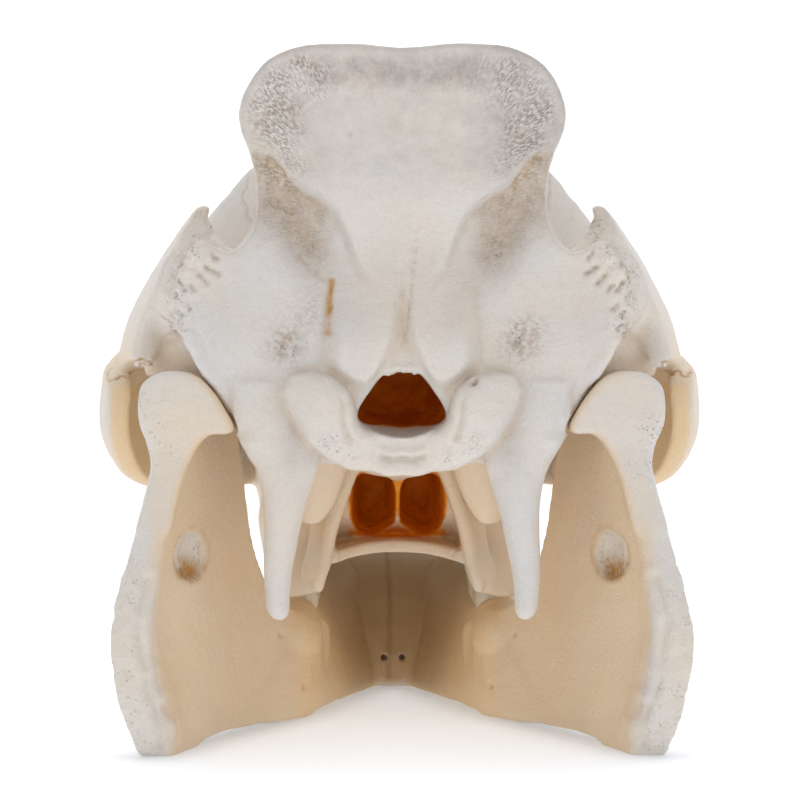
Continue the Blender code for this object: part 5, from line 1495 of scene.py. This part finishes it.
def bone_labels(centres):
    """Number of the bone that each face belongs to, with a wandering line where two bones meet."""
    wander = [lumps(centres, 4.5, 70 + k) + 0.6 * lumps(centres, 1.9, 80 + k) for k in range(3)]
    x, fwd, height = (centres + WANDER * np.stack(wander, axis=1)).T
    labels = np.full(len(centres), -1)
    names = []
    for name, outline, low, high, paired in PARTS:
        within = inside(outline, fwd, height)
        sides = [("_left", x), ("_right", -x)] if paired else [("", x)]
        for suffix, across in sides:
            here = within & (across > low) & (across < high) & (labels < 0)
            labels[here] = len(names)
            names.append(name + suffix)
    labels[labels < 0] = len(names)
    return labels, names + ["frontal"]


def seam_vertices(mesh, labels):
    """1 for each vertex where two bones meet, 0 for the others."""
    corners = values_of(mesh.loops, "vertex_index", kind=np.int64)
    totals = values_of(mesh.polygons, "loop_total", kind=np.int64)
    owner = labels[np.repeat(np.arange(len(totals)), totals)]
    low = np.full(len(mesh.vertices), 99)
    high = np.full(len(mesh.vertices), -1)
    np.minimum.at(low, corners, owner)
    np.maximum.at(high, corners, owner)
    return (low != high).astype(float)


def sink_seams(cranium, on_seam):
    """Lines sunk between the bones, stained brown across the cheeks."""
    spots, normals = layout(cranium)
    x, fwd, height = spots.T
    sink(cranium, spots, normals, SEAM_DEPTH * on_seam * (0.4 + 0.6 * ramp(fwd, 16, 40)))
    cheek = on_seam * ramp(np.abs(x), 40, 50) * (1 - ramp(height, 108, 114))
    stained = values_of(cranium.data.attributes["seam"].data, "value")
    store(cranium, "seam", np.maximum(stained, 0.10 * on_seam + 0.8 * cheek))


def part_bones(cranium):
    """Sinks the seams between bones into the surface and makes one object for each bone."""
    mesh = cranium.data
    centres = values_of(mesh.polygons, "center", 3) / MM
    centres[:, 1] = CONDYLE_Y - centres[:, 1]
    labels, names = bone_labels(centres)
    sink_seams(cranium, seam_vertices(mesh, labels))
    bones = {}
    for number, name in enumerate(names):
        bm = bmesh.new()
        bm.from_mesh(mesh)
        bm.faces.ensure_lookup_table()
        others = [face for face in bm.faces if labels[face.index] != number]
        bmesh.ops.delete(bm, geom=others, context="FACES")
        bones[name] = object_from(bm, "bone_" + name)
    bpy.data.objects.remove(cranium)
    return bones


# Material nodes

def new_material(name):
    """A material with its node tree and its shader."""
    material = bpy.data.materials.new(name)
    material.use_nodes = True
    return material, material.node_tree, material.node_tree.nodes["Principled BSDF"]


def node(tree, kind, values=None, **settings):
    """A new node with its settings, and with its inputs set to values or linked to other nodes' outputs."""
    made = tree.nodes.new(kind)
    for name, value in settings.items():
        setattr(made, name, value)
    for name, value in (values or {}).items():
        if isinstance(value, bpy.types.NodeSocket):
            tree.links.new(value, made.inputs[name])
        elif isinstance(value, tuple):
            made.inputs[name].default_value = (*value, 1)
        else:
            made.inputs[name].default_value = value
    return made


def stored(tree, name):
    return node(tree, "ShaderNodeAttribute", attribute_name=name).outputs["Fac"]


def own_places(tree):
    """The object's own coordinates, in metres."""
    return node(tree, "ShaderNodeTexCoord").outputs["Object"]


def noise(tree, size, detail=4.0, rough=0.55):
    """Noise with lumps about size millimetres wide, over the object's own coordinates."""
    values = {"Scale": 1000 / size, "Detail": detail, "Roughness": rough, "Vector": own_places(tree)}
    return node(tree, "ShaderNodeTexNoise", values).outputs["Fac"]


def spread(tree, value, low, high, to_low=0.0, to_high=1.0):
    """Value from low..high stretched to to_low..to_high and clamped."""
    values = {"Value": value, "From Min": low, "From Max": high, "To Min": to_low, "To Max": to_high}
    return node(tree, "ShaderNodeMapRange", values).outputs["Result"]


def maths(tree, operation, first, second):
    return node(tree, "ShaderNodeMath", {0: first, 1: second}, operation=operation).outputs["Value"]


def product(tree, *factors):
    """The factors multiplied in turn."""
    total = factors[0]
    for factor in factors[1:]:
        total = maths(tree, "MULTIPLY", total, factor)
    return total


def blended(tree, amount, first, second):
    """Colour between first and second, each a colour or a socket."""
    return node(tree, "ShaderNodeMix", {"Factor": amount, 6: first, 7: second}, data_type="RGBA").outputs[2]


def bumped(tree, shader, height, strength, distance):
    """Relief on the shader's surface, distance millimetres deep."""
    values = {"Strength": strength, "Distance": distance, "Height": height}
    bump = node(tree, "ShaderNodeBump", values)
    tree.links.new(bump.outputs["Normal"], shader.inputs["Normal"])


# Materials

COOL_BONE = (0.765, 0.742, 0.725)
CREAM_BONE = (0.815, 0.745, 0.665)
GREY_BONE = (0.40, 0.35, 0.325)
PINK_BONE = (0.66, 0.58, 0.51)
TAN_BONE = (0.85, 0.625, 0.37)
GRAIN_BROWN = (0.50, 0.40, 0.31)
SEAM_BROWN = (0.55, 0.30, 0.09)
PORE_BROWN = (0.30, 0.15, 0.07)
STREAK_BROWN = (0.46, 0.29, 0.17)
FIBRE_WHITE = (0.88, 0.87, 0.84)
AMBER = (0.90, 0.34, 0.02)
DARK_AMBER = (0.66, 0.17, 0.008)
SHADE_BROWN = (0.36, 0.20, 0.085)
ENAMEL_WHITE = (0.80, 0.76, 0.66)
ENAMEL_STAIN = (0.66, 0.55, 0.36)
PASSAGE_GLOW = 0.024
PASSAGE_LIGHT = (1.0, 0.34, 0.0)   # light that comes through the thin walls of the air passages
PORE_SIZE = 0.9
STREAK_SIZE = 0.45         # width of the fine streaks on the crest


def bone_base(tree):
    """Bone between cool and cream, with its grey, mottled, grainy and tan places, seams and brown stains."""
    colour = blended(tree, spread(tree, noise(tree, 26), 0.35, 0.65), COOL_BONE, CREAM_BONE)
    cloudy = spread(tree, noise(tree, 4, 6, 0.7), 0.36, 0.64, 0.72, 1.28)
    mottled = spread(tree, noise(tree, 2.2, 5), 0.52, 0.72)
    grainy = spread(tree, noise(tree, 0.7, 4, 0.8), 0.50, 0.72)
    broken = spread(tree, noise(tree, 3), 0.3, 0.55)
    blotched = spread(tree, noise(tree, 1.4, 5), 0.42, 0.62)
    layers = [
        (product(tree, stored(tree, "grey"), cloudy), GREY_BONE),
        (product(tree, mottled, 0.22), PINK_BONE),
        (product(tree, grainy, 0.26), GRAIN_BROWN),
        (stored(tree, "warm"), TAN_BONE),
        (product(tree, stored(tree, "seam"), broken), SEAM_BROWN),
        (product(tree, stored(tree, "brown"), blotched, 0.75), PORE_BROWN),
    ]
    for amount, tint in layers:
        colour = blended(tree, amount, colour, tint)
    return colour


def bone_pores(tree):
    """Fine holes in patches, where the mesh says that the bone is porous."""
    values = {"Scale": 1000 / PORE_SIZE, "Vector": own_places(tree)}
    holes = node(tree, "ShaderNodeTexVoronoi", values).outputs["Distance"]
    patchy = spread(tree, noise(tree, 4), 0.45, 0.62)
    return product(tree, spread(tree, holes, 0.16, 0.34, 1, 0), patchy, stored(tree, "pores"))


def crest_streaks(tree):
    """Noise drawn out along the crest's flow coordinates."""
    values = {"X": stored(tree, "flow_across"), "Y": stored(tree, "flow_along")}
    flow = node(tree, "ShaderNodeCombineXYZ", values).outputs["Vector"]
    values = {"Scale": FLOW_SPAN / STREAK_SIZE, "Detail": 3, "Vector": flow}
    return node(tree, "ShaderNodeTexNoise", values).outputs["Fac"]


def bone_material():
    material, tree, shader = new_material("bone")
    streaks = crest_streaks(tree)
    streaky = stored(tree, "streaky")
    uneven = spread(tree, noise(tree, 5, 4), 0.38, 0.60, 0.25, 1.0)
    fine_streaks = product(tree, spread(tree, streaks, 0.50, 0.66), uneven, streaky)
    fibres = product(tree, spread(tree, streaks, 0.50, 0.36), streaky)
    pores = bone_pores(tree)
    amber = blended(tree, spread(tree, noise(tree, 8, 3), 0.40, 0.62), AMBER, DARK_AMBER)
    layers = [
        (product(tree, pores, 0.6), PORE_BROWN),
        (product(tree, fine_streaks, 0.42), STREAK_BROWN),
        (product(tree, fibres, 0.28), FIBRE_WHITE),
        (stored(tree, "deep"), amber),
        (stored(tree, "shade"), SHADE_BROWN),
    ]
    colour = bone_base(tree)
    for amount, tint in layers:
        colour = blended(tree, amount, colour, tint)
    tree.links.new(colour, shader.inputs["Base Color"])
    shader.inputs["Emission Color"].default_value = (*PASSAGE_LIGHT, 1)
    tree.links.new(product(tree, stored(tree, "lit"), PASSAGE_GLOW), shader.inputs["Emission Strength"])
    tree.links.new(spread(tree, noise(tree, 5), 0.3, 0.7, 0.48, 0.64), shader.inputs["Roughness"])
    shader.inputs["Specular IOR Level"].default_value = 0.3
    relief = maths(tree, "ADD", product(tree, noise(tree, 0.8, 3), 0.9), noise(tree, 3.0, 5))
    sunk = maths(tree, "MAXIMUM", pores, product(tree, fine_streaks, 0.5))
    bumped(tree, shader, maths(tree, "SUBTRACT", relief, product(tree, sunk, 3.0)), 0.9, 0.3 * MM)
    return material


def enamel_material():
    material, tree, shader = new_material("enamel")
    colour = blended(tree, spread(tree, noise(tree, 6), 0.35, 0.7), ENAMEL_WHITE, ENAMEL_STAIN)
    tree.links.new(colour, shader.inputs["Base Color"])
    tree.links.new(spread(tree, noise(tree, 3), 0.3, 0.7, 0.22, 0.38), shader.inputs["Roughness"])
    shader.inputs["Subsurface Weight"].default_value = 0.1
    shader.inputs["Subsurface Radius"].default_value = (1.0, 0.7, 0.5)
    shader.inputs["Subsurface Scale"].default_value = 0.0015
    bumped(tree, shader, noise(tree, 1.5, 4), 0.3, 0.1 * MM)
    return material


# Stage

BACKDROP = 1.2             # light from behind the skull
AMBIENT = 0.41             # and from the camera's side
KEY_POWER = 1.35
FILL_POWER = 1.2
OVERHEAD_POWER = 14.0
FLOOR_GLOW = 0.60          # the skull stands on a table that is lit from below
FLOOR_GREY = (0.55, 0.575, 0.615)
JAW_ON_FLOOR = [(64, 8), (60, 16), (52, 40), (42, 62), (32, 84), (24, 110), (17, 140), (9, 165), (0, 170)]
CAMERA_X = 0.0148
CAMERA_DISTANCE = 0.8      # from the condyles' rear face
CAMERA_HEIGHT = 0.1057
FOCAL_PIXELS = 3200        # focal length in pixels of the photograph
AIM_RIGHT = 3              # pixels from the photograph's middle to the far point straight ahead
AIM_DOWN = 61.6


def floor_material():
    material, tree, shader = new_material("floor")
    shader.inputs["Base Color"].default_value = (*FLOOR_GREY, 1)
    shader.inputs["Roughness"].default_value = 0.7
    shader.inputs["Emission Color"].default_value = (1, 1, 1, 1)
    dimmed = spread(tree, stored(tree, "near_jaw"), 0, 1, FLOOR_GLOW, 0.4 * FLOOR_GLOW)
    tree.links.new(dimmed, shader.inputs["Emission Strength"])
    return material


def make_floor():
    """Floor whose glow is dimmed along the jaw, as its soft shadow."""
    xs = [-1.6, *np.linspace(-0.2, 0.2, 81), 1.6]
    ys = [-0.55, *np.linspace(-0.2, 0.2, 81), 1.6]
    places = [(x, y, 0) for y in ys for x in xs]
    wide = len(xs)
    starts = [row * wide + k for row in range(len(ys) - 1) for k in range(wide - 1)]
    mesh = bpy.data.meshes.new("floor")
    mesh.from_pydata(places, [], [(start, start + 1, start + wide + 1, start + wide) for start in starts])
    floor = bpy.data.objects.new("floor", mesh)
    flat = np.array(places) / MM
    apart = near_path(np.abs(flat[:, 0]), CONDYLE_Y - flat[:, 1], JAW_ON_FLOOR)
    store(floor, "near_jaw", 0.75 * bell(apart, 9) + 0.13 * bell(apart, 45))
    bpy.context.scene.collection.objects.link(floor)
    mesh.materials.append(floor_material())


def look(obj, direction):
    """Turns a light or a camera so that it looks along a direction."""
    obj.rotation_mode = "QUATERNION"
    obj.rotation_quaternion = direction.to_track_quat("-Z", "Y")


def area_light(name, place_at, aim, size, power, colour=(1, 1, 1)):
    data = bpy.data.lights.new(name, "AREA")
    data.shape = "DISK"
    data.size = size
    data.energy = power
    data.color = colour
    light = bpy.data.objects.new(name, data)
    bpy.context.scene.collection.objects.link(light)
    light.location = place_at
    look(light, Vector(aim) - Vector(place_at))


def make_lights():
    """A white studio: bright behind the skull, dimmer on the camera's side, with a soft light overhead."""
    world = bpy.data.worlds.new("studio")
    bpy.context.scene.world = world
    world.use_nodes = True
    tree = world.node_tree
    around = node(tree, "ShaderNodeTexCoord").outputs["Generated"]
    split = node(tree, "ShaderNodeSeparateXYZ", {"Vector": around})
    background = tree.nodes["Background"]
    background.inputs["Color"].default_value = (1, 1, 1, 1)
    strength = spread(tree, split.outputs["Y"], -0.7, 0.1, BACKDROP, AMBIENT)
    tree.links.new(strength, background.inputs["Strength"])
    area_light("key", (-0.75, 1.0, 0.42), (0, 0.06, 0.08), 0.8, KEY_POWER, (1.0, 0.99, 0.975))
    area_light("fill", (0.75, 1.0, 0.38), (0, 0.06, 0.08), 0.9, FILL_POWER)
    area_light("overhead", (0, -0.1, 2.0), (0, -0.1, 0), 2.5, OVERHEAD_POWER)
    bpy.context.scene.view_settings.view_transform = "Standard"


def make_camera():
    data = bpy.data.cameras.new("camera")
    data.lens = 144
    data.sensor_width = 36
    data.clip_start = 0.01
    camera = bpy.data.objects.new("camera", data)
    bpy.context.scene.collection.objects.link(camera)
    camera.location = (CAMERA_X, CAMERA_DISTANCE + CONDYLE_Y * MM, CAMERA_HEIGHT)
    pitch = math.atan(AIM_DOWN / FOCAL_PIXELS)
    yaw = math.atan(CAMERA_X / CAMERA_DISTANCE) - math.atan(AIM_RIGHT / FOCAL_PIXELS)
    level = math.cos(pitch)
    look(camera, Vector((-math.sin(yaw) * level, -math.cos(yaw) * level, -math.sin(pitch))))
    bpy.context.scene.camera = camera


def dress(obj, name, material, nodes):
    """Finishes a piece: its name, material and smooth faces, its ride, and the nodes that it stands for."""
    obj.name = name
    obj.data.name = name
    obj.data.materials.clear()
    obj.data.materials.append(material)
    obj.data.shade_smooth()
    WORK.objects.unlink(obj)
    bpy.context.scene.collection.objects.link(obj)
    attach(obj, "root")
    if nodes:
        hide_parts(*nodes)


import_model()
WORK = bpy.data.collections.new("work")
bpy.context.scene.collection.children.link(WORK)


def main():
    bone = bone_material()
    enamel = enamel_material()
    cranium = cranium_body()
    largest_body(cranium)
    cranium_detail(cranium)
    for name, piece in part_bones(cranium).items():
        dress(piece, "bone_" + name, bone, [name])
    mandible = mandible_body()
    largest_body(mandible)
    mandible_detail(mandible)
    dress(mandible, "bone_mandible", bone, ["mandible"])
    for name, rows in TEETH.items():
        dress(tooth_row(name, *rows), name, enamel, [])
    for name, path in TUSKS.items():
        for side, made in zip(("left", "right"), both_sides([tube(name, path, 6, 8)])):
            node_name = f"{name}_{side}"
            dress(made, "fine_" + node_name, enamel, [node_name])
    bpy.data.collections.remove(WORK)
    make_floor()
    make_lights()
    make_camera()


main()
